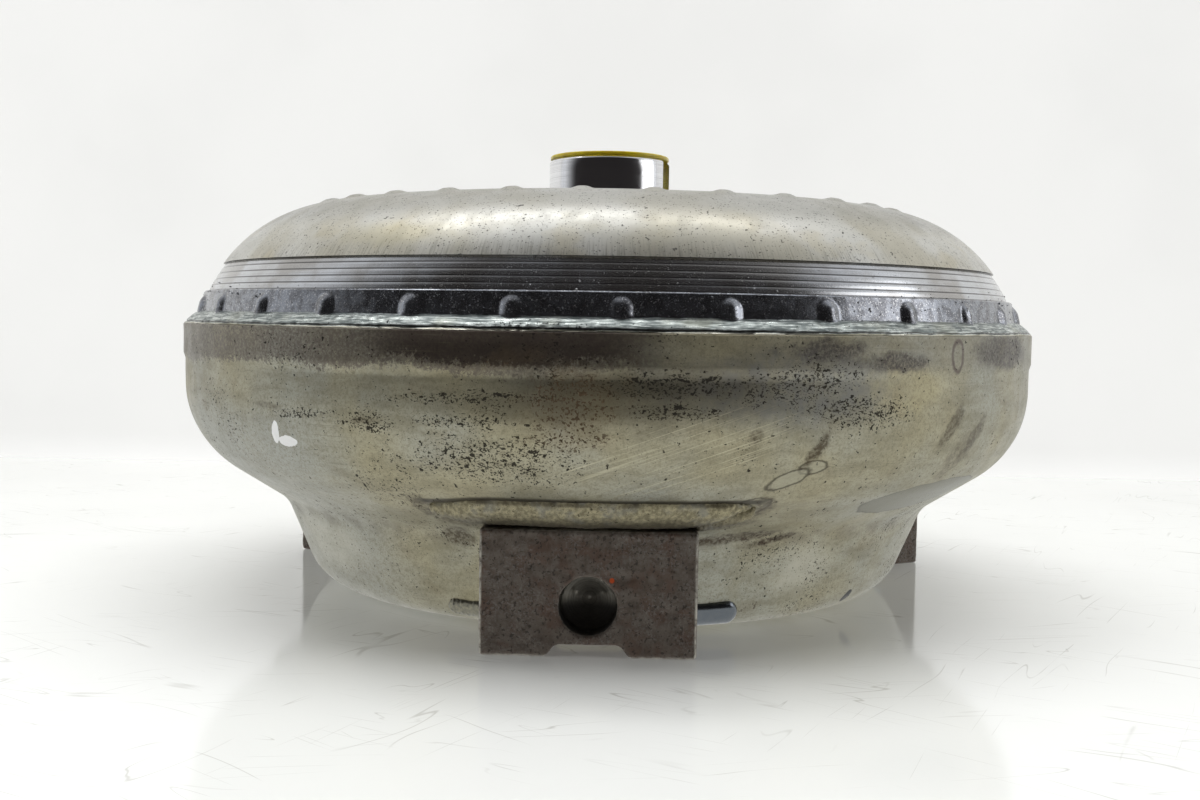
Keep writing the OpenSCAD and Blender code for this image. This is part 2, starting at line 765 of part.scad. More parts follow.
module turbine_rivets() {
    top = turbine_cut_z;
    color([0.6, 0.6, 0.6]) for (i = [0:rivet_n - 1]) at(i * 360 / rivet_n)
        translate([0, -rivet_pitch_r, 0]) union() {
            translate([0, 0, barrel_flange_z - rivet_head_h])
                cylinder(r = rivet_r, h = top - barrel_flange_z + 2 * rivet_head_h);
            translate([0, 0, barrel_flange_z - rivet_head_h])
                cylinder(r = rivet_head_r, h = rivet_head_h);
            translate([0, 0, top]) cylinder(r = rivet_head_r, h = rivet_head_h);
        }
}

module turbine_bush() color([0.72, 0.55, 0.3]) ring(bush_bore_r, bush_r, barrel_z, bush_len);

module front_thrust_washer() {
    groove_w = 3;
    groove_h = 0.8;
    color([0.72, 0.55, 0.3]) difference() {
        ring(bush_r + 1, washer_r, dish_floor_z + run_gap, washer_t);
        for (i = [0:3]) rotate([0, 0, i * 45]) translate([-rim_r, -groove_w / 2, dish_floor_z])
            cube([2 * rim_r, groove_w, run_gap + groove_h]);
    }
}

// Thrust bearings
module bearing_washer(z) ring(bearing_in_r, bearing_out_r, z, bearing_washer_t);

module needles(z) {
    mid = (bearing_in_r + bearing_out_r) / 2;
    for (i = [0:needle_n - 1]) at(i * 360 / needle_n)
        translate([0, -mid + needle_len / 2, z]) rotate([90, 0, 0])
            cylinder(r = needle_r, h = needle_len, $fn = 24);
}

module cage(z) {
    mid = (bearing_in_r + bearing_out_r) / 2;
    pocket = 2 * needle_r + 0.2;
    h = 1.2 * needle_r;
    difference() {
        ring(bearing_in_r + 0.8, bearing_out_r - 0.8, z - h / 2, h);
        for (i = [0:needle_n - 1]) at(i * 360 / needle_n)
            translate([-pocket / 2, -mid - needle_len / 2 - 0.1, z - h])
                cube([pocket, needle_len + 0.2, 2 * h]);
    }
}

module turbine_bearing_washer() color([0.8, 0.8, 0.8]) bearing_washer(lower_bearing_z);
module stator_washer_lower() color([0.8, 0.8, 0.8])
    bearing_washer(lower_bearing_z + bearing_h - bearing_washer_t);
module lower_bearing_cage() color([0.55, 0.5, 0.4]) cage(lower_needle_z);
module lower_bearing_needles() color([0.85, 0.85, 0.85]) needles(lower_needle_z);
module stator_washer_upper() color([0.8, 0.8, 0.8]) bearing_washer(upper_bearing_z);
module impeller_bearing_washer() color([0.8, 0.8, 0.8])
    bearing_washer(upper_bearing_z + bearing_h - bearing_washer_t);
module upper_bearing_cage() color([0.55, 0.5, 0.4]) cage(upper_needle_z);
module upper_bearing_needles() color([0.85, 0.85, 0.85]) needles(upper_needle_z);

// Stator with its freewheel
module vane_section() {
    chord = stator_h - 3;
    r_in = 60;
    r_out = 26;
    sag_in = r_in - sqrt(r_in * r_in - chord * chord / 4);
    sag_out = r_out - sqrt(r_out * r_out - chord * chord / 4);
    intersection() {
        translate([r_in - sag_in, 0]) circle(r = r_in);
        translate([sag_out - r_out, 0]) circle(r = r_out);
    }
}

module stator_wheel() {
    shroud_in_r = stator_shroud_r - stator_shroud_t;
    color([0.74, 0.75, 0.76]) union() {
        ring(outer_race_r, stator_hub_r, race_z, race_h);
        ring(cap_r + 0.1, stator_hub_r, stator_z, stator_h);
        ring(shroud_in_r, stator_shroud_r, stator_z, stator_h);
        for (i = [0:vane_n - 1]) at(i * 360 / vane_n)
            translate([0, -stator_hub_r + 1, stator_z + stator_h / 2]) rotate([90, 0, 0])
                linear_extrude(shroud_in_r - stator_hub_r + 2) rotate(vane_angle) vane_section();
    }
}

module stator_cap(z) ring(cap_bore_r, cap_r, z, cap_t);
module stator_cap_lower() color([0.7, 0.7, 0.72]) stator_cap(cap_low_z);
module stator_cap_upper() color([0.7, 0.7, 0.72]) stator_cap(cap_top_z);

// Pocket of one roller: a ramp, and room for the spring behind the roller
module pocket() {
    pocket_r = roller_r + roller_gap;
    translate([0, -roller_pitch_r]) circle(r = pocket_r);
    translate([-ramp_run, -roller_pitch_r - ramp_rise]) circle(r = pocket_r);
    translate([-roller_r - spring_room - 0.1, -roller_pitch_r - roller_r / 2 - 0.3])
        square([roller_r + spring_room + 0.1, roller_r + 0.3]);
}

module freewheel_outer_race() {
    color([0.6, 0.6, 0.62]) translate([0, 0, race_z]) linear_extrude(race_h) difference() {
        circle(r = outer_race_r);
        circle(r = race_pad_r);
        for (i = [0:roller_n - 1]) rotate(i * 360 / roller_n) pocket();
    }
}

module freewheel_inner_race() {
    color([0.62, 0.62, 0.64]) difference() {
        ring(stator_spline_r, inner_race_r, race_z, race_h);
        spline_cuts(stator_spline_r, stator_spline_d, stator_spline_n, race_z - 1, race_h + 2);
    }
}

module freewheel_rollers() {
    color([0.85, 0.85, 0.86]) for (i = [0:roller_n - 1]) at(i * 360 / roller_n)
        translate([0, -roller_pitch_r, race_z + 0.3]) cylinder(r = roller_r, h = race_h - 0.6);
}

// Folded leaf spring that pushes a roller into the narrow end of its pocket
module freewheel_springs() {
    folds = 6;
    leaf = 1.2;
    pitch = (spring_room - 0.1) / folds;
    w = roller_r;
    color([0.5, 0.5, 0.52]) for (i = [0:roller_n - 1]) at(i * 360 / roller_n)
        translate([-roller_r - spring_room, -roller_pitch_r - w / 2, race_z + 2])
            linear_extrude(race_h - 4) polygon(concat(
                [for (k = [0:folds]) [k * pitch, k % 2 == 0 ? 0 : w - leaf]],
                [for (k = [folds:-1:0]) [k * pitch, k % 2 == 0 ? leaf : w]]
            ));
}

// Lock-up clutch
module tabs(r_in, r_out, w, z, h, gap) {
    for (i = [0:tab_n - 1]) at(i * 360 / tab_n)
        translate([-w / 2 - gap, -r_out, z]) cube([w + 2 * gap, r_out - r_in, h]);
}

module clutch_outer_carrier() {
    color([0.58, 0.58, 0.56]) difference() {
        ring(carrier_in_r, carrier_r, floor_z, carrier_h);
        tabs(carrier_in_r - 2, carrier_r + 1, tab_w, slot_low_z, snap_z - slot_low_z, tab_gap);
        ring(carrier_in_r - 1, carrier_in_r + groove_d, snap_z - 0.1, snap_t + 0.2);
    }
}

module piston_guide_ring() {
    color([0.58, 0.58, 0.56])
        ring(guide_r - guide_w, guide_r, floor_z, piston_rest + piston_t + piston_ring_h + plate_gap);
}

module outer_tab_plate(z, t) {
    intersection() {
        union() {
            ring(face_in_r, plate_r, z, t);
            tabs(plate_r - 1, tab_r, tab_w, z, t, 0);
        }
        cylinder(r = tab_r, h = 3 * mid_z);
    }
}

module clutch_backing_plate() color([0.5, 0.5, 0.5]) outer_tab_plate(backing_z, backing_t);
module steel_plate_lower() color([0.6, 0.6, 0.62]) outer_tab_plate(steel_1_z, steel_t);
module steel_plate_upper() color([0.6, 0.6, 0.62]) outer_tab_plate(steel_2_z, steel_t);

module clutch_snap_ring() {
    color([0.35, 0.35, 0.36]) difference() {
        ring(carrier_in_r - 2.5, carrier_in_r + groove_d - 0.3, snap_z, snap_t);
        translate([-6, -rim_r, snap_z - 1]) cube([12, rim_r, snap_t + 2]);
    }
}

// Grooves for the piston's two seals are as deep as the seals
module lockup_piston() {
    body_out = carrier_in_r - 0.3;
    body_in = guide_r + 0.3;
    seal_z = piston_z + (piston_t - seal_w) / 2;
    color([0.6, 0.6, 0.58]) rotate_extrude() difference() {
        union() {
            translate([body_in, piston_z]) square([body_out - body_in, piston_t]);
            translate([face_in_r + 2, piston_z]) square([face_w - 3, piston_t + piston_ring_h]);
        }
        translate([body_out - seal_w, seal_z]) square([seal_w + 1, seal_w]);
        translate([body_in - 1, seal_z]) square([seal_w + 1, seal_w]);
    }
}

module piston_outer_seal() {
    color([0.12, 0.12, 0.12]) ring(
        carrier_in_r - 0.3 - seal_w, carrier_in_r - seal_gap,
        piston_z + (piston_t - seal_w) / 2, seal_w);
}

module piston_inner_seal() {
    color([0.12, 0.12, 0.12]) ring(
        guide_r + seal_gap, guide_r + 0.3 + seal_w,
        piston_z + (piston_t - seal_w) / 2, seal_w);
}

module friction_core(z) {
    core_z = z + lining_t;
    difference() {
        union() {
            ring(friction_in_r, face_out_r, core_z, friction_core_t);
            tabs(friction_tab_in_r, friction_in_r + 1, tab_w, core_z, friction_core_t, 0);
        }
        cylinder(r = friction_tab_in_r, h = 3 * mid_z);
    }
}

module linings(z) {
    for (lift = [0, lining_t + friction_core_t])
        ring(face_in_r + 1, face_out_r, z + lift, lining_t);
}

module friction_plate_lower() color([0.5, 0.5, 0.5]) friction_core(friction_1_z);
module friction_plate_upper() color([0.5, 0.5, 0.5]) friction_core(friction_2_z);
module friction_linings_lower() color([0.35, 0.26, 0.18]) linings(friction_1_z);
module friction_linings_upper() color([0.35, 0.26, 0.18]) linings(friction_2_z);

// Damper
module damper_rivet_holes() {
    for (i = [0:damper_rivet_n - 1]) at((i + 0.5) * 360 / damper_rivet_n)
        translate([0, -damper_rivet_pitch_r, 0]) cylinder(r = damper_rivet_r, h = 3 * mid_z);
}

module windows(z, h) {
    for (i = [0:spring_n - 1]) at(i * 360 / spring_n)
        translate([-window_len / 2, -spring_pitch_r - window_w / 2, z])
            cube([window_len, window_w, h]);
}

module clutch_inner_carrier() {
    color([0.56, 0.56, 0.54]) difference() {
        union() {
            ring(drum_in_r, inner_drum_r, drum_z, drum_flange_z - drum_z + damper_t);
            ring(damper_flange_r - 1, inner_drum_r, drum_flange_z, damper_t);
        }
        tabs(drum_in_r - 1, inner_drum_r + 2, tab_w, drum_z - 1, drum_flange_z - drum_z + 0.7, tab_gap);
        damper_rivet_holes();
    }
}

module damper_plate(z, r_in) {
    difference() {
        ring(r_in, damper_plate_r, z, damper_t);
        windows(z - 1, damper_t + 2);
        damper_rivet_holes();
    }
}

module damper_plate_lower() color([0.56, 0.56, 0.54]) damper_plate(damper_low_z, barrel_r + 3);
module damper_plate_upper() color([0.56, 0.56, 0.54]) damper_plate(damper_top_z, barrel_r + 5);

module damper_rivets() {
    head_h = 1.6;
    head_r = 3.2;
    top = damper_top_z + damper_t;
    low = drum_flange_z;
    spacer = damper_low_z + damper_t;
    color([0.6, 0.6, 0.6]) for (i = [0:damper_rivet_n - 1]) at((i + 0.5) * 360 / damper_rivet_n)
        translate([0, -damper_rivet_pitch_r, 0]) union() {
            translate([0, 0, low - head_h]) cylinder(r = damper_rivet_r, h = top - low + 2 * head_h);
            translate([0, 0, low - head_h]) cylinder(r = head_r, h = head_h);
            translate([0, 0, spacer]) cylinder(r = head_r, h = damper_top_z - spacer);
            translate([0, 0, top]) cylinder(r = head_r, h = head_h);
        }
}

module damper_flange() {
    color([0.6, 0.6, 0.58]) difference() {
        ring(barrel_r, damper_flange_r, flange_z, damper_flange_t);
        windows(flange_z - 1, damper_flange_t + 2);
    }
}

// One coil spring lying along X, centred on the origin
module coil() {
    sides = 5;
    per_turn = 10;
    rings = spring_turns * per_turn;
    mean_r = spring_r - wire_r;
    run = spring_len - 2 * wire_r;
    points = [for (i = [0:rings], j = [0:sides - 1])
        let (
            turn = 360 * i / per_turn,
            side = 360 * j / sides,
            reach = mean_r + wire_r * cos(side)
        )
        [-run / 2 + run * i / rings + wire_r * sin(side), reach * cos(turn), reach * sin(turn)]];
    walls = [for (i = [0:rings - 1], j = [0:sides - 1])
        [i * sides + j, i * sides + (j + 1) % sides,
            (i + 1) * sides + (j + 1) % sides, (i + 1) * sides + j]];
    ends = [[for (j = [sides - 1:-1:0]) j], [for (j = [0:sides - 1]) rings * sides + j]];
    polyhedron(points = points, faces = concat(walls, ends));
}

module damper_springs() {
    color([0.3, 0.32, 0.36]) for (i = [0:spring_n - 1]) at(i * 360 / spring_n)
        translate([0, -spring_pitch_r, spring_z]) coil();
}

// Plastic plug that closes the hub
module hub_plug() {
    play = 0.2;
    flange_r = hub_r - 0.3;
    barrel_out = hub_bore_r - play;
    color([0.85, 0.78, 0.05]) rotate_extrude() polygon([
        [0, hub_end_z], [barrel_out - plug_t, hub_end_z], [barrel_out - plug_t, hub_end_z - plug_len],
        [barrel_out, hub_end_z - plug_len], [barrel_out, hub_end_z], [flange_r, hub_end_z],
        [flange_r, hub_end_z + plug_rim_t], [barrel_out - 2 * plug_t, hub_end_z + plug_rim_t],
        [barrel_out - 3 * plug_t, hub_end_z + plug_rim_t / 2], [0, hub_end_z + plug_rim_t / 2]
    ]);
}

front_cover();
impeller_shell();
rim_weld();
impeller_hub();
hub_weld();
drive_lug_front();
drive_lug_right();
drive_lug_left();
lug_welds_upper();
lug_welds_lower();
pilot_boss();
impeller_blades();
impeller_core_ring();
impeller_bearing_washer();
clutch_outer_carrier();
piston_guide_ring();
clutch_backing_plate();
clutch_snap_ring();
lockup_piston();
piston_outer_seal();
piston_inner_seal();
steel_plate_lower();
steel_plate_upper();
friction_plate_lower();
friction_plate_upper();
friction_linings_lower();
friction_linings_upper();
clutch_inner_carrier();
damper_plate_lower();
damper_plate_upper();
damper_rivets();
damper_springs();
damper_flange();
turbine_shell();
turbine_blades();
turbine_core_ring();
turbine_hub();
turbine_rivets();
turbine_bush();
front_thrust_washer();
turbine_bearing_washer();
lower_bearing_cage();
lower_bearing_needles();
stator_wheel();
stator_cap_lower();
stator_cap_upper();
stator_washer_lower();
stator_washer_upper();
freewheel_outer_race();
freewheel_inner_race();
freewheel_rollers();
freewheel_springs();
upper_bearing_cage();
upper_bearing_needles();
hub_plug();
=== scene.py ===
import itertools
import json
import math

import bmesh
import bpy
import numpy as np
from mathutils import Matrix, Vector


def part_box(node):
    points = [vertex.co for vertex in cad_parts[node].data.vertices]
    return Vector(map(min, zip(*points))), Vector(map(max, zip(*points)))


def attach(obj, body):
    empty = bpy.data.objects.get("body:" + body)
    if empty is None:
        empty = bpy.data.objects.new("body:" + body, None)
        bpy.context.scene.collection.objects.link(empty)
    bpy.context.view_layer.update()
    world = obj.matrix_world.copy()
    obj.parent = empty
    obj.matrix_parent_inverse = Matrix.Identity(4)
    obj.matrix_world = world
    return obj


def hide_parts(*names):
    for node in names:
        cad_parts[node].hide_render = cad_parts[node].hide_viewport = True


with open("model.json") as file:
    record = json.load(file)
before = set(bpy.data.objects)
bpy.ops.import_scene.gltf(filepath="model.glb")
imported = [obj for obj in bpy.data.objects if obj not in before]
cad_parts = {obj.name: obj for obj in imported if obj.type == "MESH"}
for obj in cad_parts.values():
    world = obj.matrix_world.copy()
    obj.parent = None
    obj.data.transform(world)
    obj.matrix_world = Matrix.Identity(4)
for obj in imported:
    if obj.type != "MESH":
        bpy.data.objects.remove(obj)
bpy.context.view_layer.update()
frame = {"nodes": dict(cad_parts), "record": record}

# Lengths are in millimetres and angles in degrees, and a mesh is scaled to metres when it is made.
# An angle about the axis runs from the front lug towards +X.


def mm(value):
    """A length of the frame, in millimetres."""
    return round(value * 1000, 1)


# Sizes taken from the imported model
cover_low, cover_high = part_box("front_cover")
lug_low, lug_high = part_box("drive_lug_front")
hub_low, hub_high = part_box("impeller_hub")
plug_low, plug_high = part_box("hub_plug")
weld_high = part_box("rim_weld")[1]
boss_low, boss_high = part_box("pilot_boss")
END_Z = mm(cover_low.z)
RIM_EDGE_Z = mm(cover_high.z)
BAND_Z = mm(weld_high.z)
LUG_W = mm(lug_high.x - lug_low.x)
LUG_H = mm(lug_high.z)
LUG_FACE_R = -mm(lug_low.y)
HUB_END_Z = mm(hub_high.z)
HUB_FLANGE_R = mm(hub_high.x)
PLUG_TOP_Z = mm(plug_high.z)
PLUG_END_Z = mm(plug_low.z)
PILOT_R = mm(boss_high.x)
PILOT_END_Z = mm(boss_low.z)

# Front cover
RIM_R = 150
WALL_R = 149.4
COVER_T = 5.4
TAPER_TOP = RIM_EDGE_Z - 9.8
TAPER_LOW = 2
SHOULDER_R = 33.1
SHOULDER_C = np.array([WALL_R - SHOULDER_R, 72])
CONE_ANGLE = 33.2
CONE_OUT = np.array([math.sin(math.radians(CONE_ANGLE)), -math.cos(math.radians(CONE_ANGLE))])
CONE_UP = np.array([-CONE_OUT[1], CONE_OUT[0]])
CONE_TOP = SHOULDER_C + SHOULDER_R * CONE_OUT
NECK_R = 110.7
NECK_Z = 20
NECK_TAPER = 22.5
NECK_OUT = np.array([math.cos(math.radians(NECK_TAPER)), -math.sin(math.radians(NECK_TAPER))])
NECK_FILLET_R = 14
NECK_FILLET_C = np.linalg.solve([CONE_OUT, NECK_OUT], [
    CONE_TOP @ CONE_OUT + NECK_FILLET_R, np.array([NECK_R, NECK_Z]) @ NECK_OUT + NECK_FILLET_R])
END_FILLET_R = 15.6
END_C = np.array([
    NECK_R - (NECK_Z - END_Z - END_FILLET_R) * math.tan(math.radians(NECK_TAPER))
    - END_FILLET_R / math.cos(math.radians(NECK_TAPER)), END_Z + END_FILLET_R])
DISH_R = 40
DISH_TOP_Z = END_Z + 9
DISH_SLOPE = 6

# Impeller shell
MID_Z = 84.3
DOME_R = 49.4
SKIRT_R = RIM_R - COVER_T
TUBE_R = SKIRT_R - 48.6
PASSAGE_R = DOME_R - 4
SKIRT_Z = 86
BAND_H = 6.8
BAND_TAPER = 1.5
TURNED_H = 9.55
TURNED_STEPS = 5
TURNED_FOOT = 0.25
TURNED_TOP = 0.9
TURNED_LEDGE = 0.3
BUMP_N = 31
BUMP_ANGLE = 3.4
BUMP_OUT = 1.4
BUMP_HALF_W = 3.3
BUMP_FOOT_H = 2.3
BUMP_ROUND_H = 3.2
CROWN_BUMP_R = 104.5
CROWN_BUMP_OUT = 0.8
CROWN_BUMP_HALF_W = 4.2

# Hub
HUB_R = 22
HUB_BORE_R = 17.5
HUB_ROOT_R = 8
HUB_FOOT_R = 40
SLOT_W = 12
SLOT_D = 14
SLOT_ANGLE = 79

# Drive lugs
LUG_HOLE_R = 8.25
LUG_HOLE_Z = 14.6
LUG_HOLE_D = 8
BOLT_R = 3.4
BOLT_D = 18
BOLT_ROW_R = 116
BOLT_HALF = 21.4
UPPER_BEAD_Z = 40.7
UPPER_BEAD_HALF = 20.1
UPPER_BEAD_SHIFT = -0.3


# Mesh helpers

def arc(centre, radius, start, end, count):
    """Points along an arc in the plane of radius and height."""
    turn = np.radians(np.linspace(start, end, count))
    return np.array(centre) + radius * np.column_stack([np.cos(turn), np.sin(turn)])


def spaced(points, step):
    """The same line with a point at each corner and about one every step."""
    points = np.array(points, float)
    parts = [points[:1]]
    for a, b in zip(points, points[1:]):
        count = max(1, math.ceil(np.hypot(*(b - a)) / step))
        parts.append(a + (b - a) * np.arange(1, count + 1)[:, None] / count)
    return np.vstack(parts)


def smooth(value, low, high):
    """From 0 below low to 1 above high, along a smooth curve."""
    t = np.clip((value - low) / (high - low), 0, 1)
    return t * t * (3 - 2 * t)


def noise(place, size, seed=0):
    """Smooth noise from -1 to 1 at each place, with bumps of about that size."""
    spot = np.asarray(place, float) / size
    cell = np.floor(spot).astype(np.int64)
    part = spot - cell
    part = part * part * (3 - 2 * part)
    total = np.zeros(spot.shape[:-1])
    for corner in itertools.product((0, 1), repeat=3):
        key = (cell + corner) @ np.array([73856093, 19349663, 83492791]) + seed * 9176
        key = (key ^ (key >> 13)) * 1274126177 & 0x7FFFFFFF
        key = (key ^ (key >> 15)) * 668265263 & 0x7FFFFFFF
        value = ((key >> 7) & 0xFFFF) / 32767.5 - 1
        total += np.prod(np.where(corner, part, 1 - part), axis=-1) * value
    return total


def rough(place, size, seed=0, octaves=3):
    """Noise of several sizes, each half the last one and half as strong."""
    return sum(noise(place, size / 2**k, seed + 7 * k) / 2**k for k in range(octaves))


def link(name, data):
    """A new object of that data, linked to the scene."""
    made = bpy.data.objects.new(name, data)
    bpy.context.scene.collection.objects.link(made)
    return made


def link_shell(name, shell):
    """A new object of an edited mesh."""
    mesh = bpy.data.meshes.new(name)
    shell.to_mesh(mesh)
    shell.free()
    return link(name, mesh)


def make_object(name, points, faces, sharp=30):
    """An object of that mesh, given in millimetres, shaded smooth below the sharp angle."""
    mesh = bpy.data.meshes.new(name)
    mesh.from_pydata((np.asarray(points) / 1000).tolist(), [], faces)
    mesh.validate()
    shell = bmesh.new()
    shell.from_mesh(mesh)
    poles = [v for v in shell.verts if math.hypot(v.co.x, v.co.y) < 1e-6]
    if poles:
        bmesh.ops.remove_doubles(shell, verts=poles, dist=1e-6)
    bmesh.ops.recalc_face_normals(shell, faces=shell.faces)
    shell.to_mesh(mesh)
    shell.free()
    shade(mesh, sharp)
    return link(name, mesh)


def shade(mesh, sharp):
    mesh.shade_smooth()
    mesh.set_sharp_from_angle(angle=math.radians(sharp))


def settle(made, sharp=30):
    """Replaces the object's mesh with the result of its modifiers."""
    bpy.context.view_layer.update()
    graph = bpy.context.evaluated_depsgraph_get()
    mesh = bpy.data.meshes.new_from_object(made.evaluated_get(graph))
    made.modifiers.clear()
    made.data = mesh
    shade(mesh, sharp)
    return made


def cut(made, tool):
    """Takes the tool's shape out of the object and removes the tool."""
    change = made.modifiers.new("cut", "BOOLEAN")
    change.operation = "DIFFERENCE"
    change.solver = "EXACT"
    change.object = tool
    settle(made)
    bpy.data.objects.remove(tool)


def read_points(made):
    points = np.zeros(len(made.data.vertices) * 3)
    made.data.vertices.foreach_get("co", points)
    return points.reshape(-1, 3) * 1000


def write_points(made, points):
    made.data.vertices.foreach_set("co", (points / 1000).ravel())
    made.data.update()


def read_normals(made):
    normals = np.zeros(len(made.data.vertices) * 3)
    made.data.vertices.foreach_get("normal", normals)
    return normals.reshape(-1, 3)


def grid_faces(rows, columns, close_rows):
    """Faces of a grid that closes round in its columns, and in its rows if asked."""
    row = np.arange(rows if close_rows else rows - 1)[:, None]
    column = np.arange(columns)[None, :]
    after_row = (row + 1) % rows
    after = (column + 1) % columns
    faces = np.stack([row * columns + column, row * columns + after,
                      after_row * columns + after, after_row * columns + column], axis=-1)
    return faces.reshape(-1, 4).tolist()


def turned_points(outline, angles, lift=None):
    """Places on the surface that the outline sweeps about the axis, raised by lift along its normal."""
    outline = np.asarray(outline, float)
    along = np.gradient(outline, axis=0)
    along /= np.maximum(np.linalg.norm(along, axis=1), 1e-9)[:, None]
    radius = np.repeat(outline[:, :1], len(angles), axis=1)
    height = np.repeat(outline[:, 1:], len(angles), axis=1)
    if lift is not None:
        radius = radius - lift * along[:, 1:]
        height = height + lift * along[:, :1]
    turn = np.radians(angles)
    return np.stack([radius * np.sin(turn), -radius * np.cos(turn), height], axis=-1)


def turned(name, outline, angles, lift=None, closed=True, sharp=30):
    """A solid of revolution from an outline of radius and height that runs down its outside."""
    points = turned_points(outline, angles, lift)
    faces = grid_faces(len(outline), len(angles), closed)
    return make_object(name, points.reshape(-1, 3), faces, sharp)


def even_angles(count):
    return np.arange(count) * 360 / count


def join(name, parts):
    """One object of all the parts' meshes."""
    shell = bmesh.new()
    for part in parts:
        part.data.transform(part.matrix_world)
        shell.from_mesh(part.data)
        bpy.data.objects.remove(part)
    return link_shell(name, shell)


# Front cover

def cover_outline(inset, lip=0.0):
    """The cover from the rim's top edge down to the end face, set in by that much."""
    rim = [[RIM_R - inset - lip, RIM_EDGE_Z], [RIM_R - inset, RIM_EDGE_Z - lip],
           [RIM_R - inset, TAPER_TOP], [WALL_R - inset, TAPER_TOP - TAPER_LOW]]
    return np.vstack([
        rim if lip else [rim[0]] + rim[2:],
        arc(SHOULDER_C, SHOULDER_R - inset, 0, CONE_ANGLE - 90, 24),
        arc(NECK_FILLET_C, NECK_FILLET_R + inset, 90 + CONE_ANGLE, 180 - NECK_TAPER, 12),
        arc(END_C, END_FILLET_R - inset, -NECK_TAPER, -90, 18),
    ])


def make_cover():
    """The pressed cover, with the slight waves and dents of a pressing that has been handled."""
    outside = np.vstack([
        cover_outline(0, lip=0.35),
        [[DISH_R + 1.5, END_Z], [DISH_R - 0.5, END_Z + 0.8], [DISH_R - DISH_SLOPE + 1, DISH_TOP_Z - 1],
         [DISH_R - DISH_SLOPE - 1, DISH_TOP_Z], [0, DISH_TOP_Z]],
    ])
    inside = np.vstack([
        [[0, DISH_TOP_Z + COVER_T], [DISH_R - DISH_SLOPE + 2.5, DISH_TOP_Z + COVER_T],
         [DISH_R + 2.5, END_Z + COVER_T]],
        cover_outline(COVER_T)[:0:-1],
        [[RIM_R - COVER_T, RIM_EDGE_Z]],
    ])
    outline = np.vstack([spaced(outside, 1.3), spaced(inside, 9)])
    angles = even_angles(720)
    place = turned_points(outline, angles)
    on_outside = np.arange(len(outline)) < len(spaced(outside, 1.3))
    lift = 0.16 * rough(place, 46, 3, 2) + 0.05 * rough(place, 9, 5, 2)
    lift += 0.02 * noise(place * [0, 0, 1] + [1, 0, 0], 4.5, 9)
    lift = -np.abs(lift) * on_outside[:, None]
    lift *= smooth(RIM_EDGE_Z - place[..., 2], 0.2, 3) * 0.9 + 0.1
    lift *= smooth(place[..., 2], END_Z + 0.1, END_Z + 3)
    return turned("front_cover_pressed", outline, angles, lift, closed=False, sharp=35)


# Impeller shell

def dome_at(height):
    return TUBE_R + math.sqrt(DOME_R**2 - (height - MID_Z) ** 2)


def turned_outline():
    """The turned steps from the top one down, each with a small chamfer on its ledge."""
    foot = BAND_Z + BAND_H
    step = TURNED_H / TURNED_STEPS
    chamfer = 0.12
    points = []
    for k in range(TURNED_STEPS - 1, -1, -1):
        for end in (1, 0):
            height = foot + (k + end) * step
            depth = TURNED_FOOT + (TURNED_TOP - TURNED_FOOT) * (k + end) / TURNED_STEPS
            radius = dome_at(height) - depth + (end - 0.5) * TURNED_LEDGE
            if end:
                points += [[radius - chamfer, height], [radius, height - chamfer]]
            else:
                points += [[radius, height]]
    return points


def bump_angles():
    """Angles with many lines across each bump and few between them."""
    pitch = 360 / BUMP_N
    across = SKIRT_R * math.radians(pitch)
    near = np.arange(0, 4.6, 0.42)
    far = np.arange(across / 2 - 6.3, across / 2, 0.78)
    between = np.linspace(4.6, across / 2 - 6.3, 4)[:-1]
    half = np.concatenate([near, between, far]) / across
    one = np.concatenate([half, [0.5], 1 - half[:0:-1]])
    return np.concatenate([(k + one) * pitch for k in range(BUMP_N)]) + BUMP_ANGLE


def nearest_bump(angles, phase):
    """Angle to the nearest of the evenly spaced bumps."""
    pitch = 360 / BUMP_N
    return (np.asarray(angles) - phase + pitch / 2) % pitch - pitch / 2


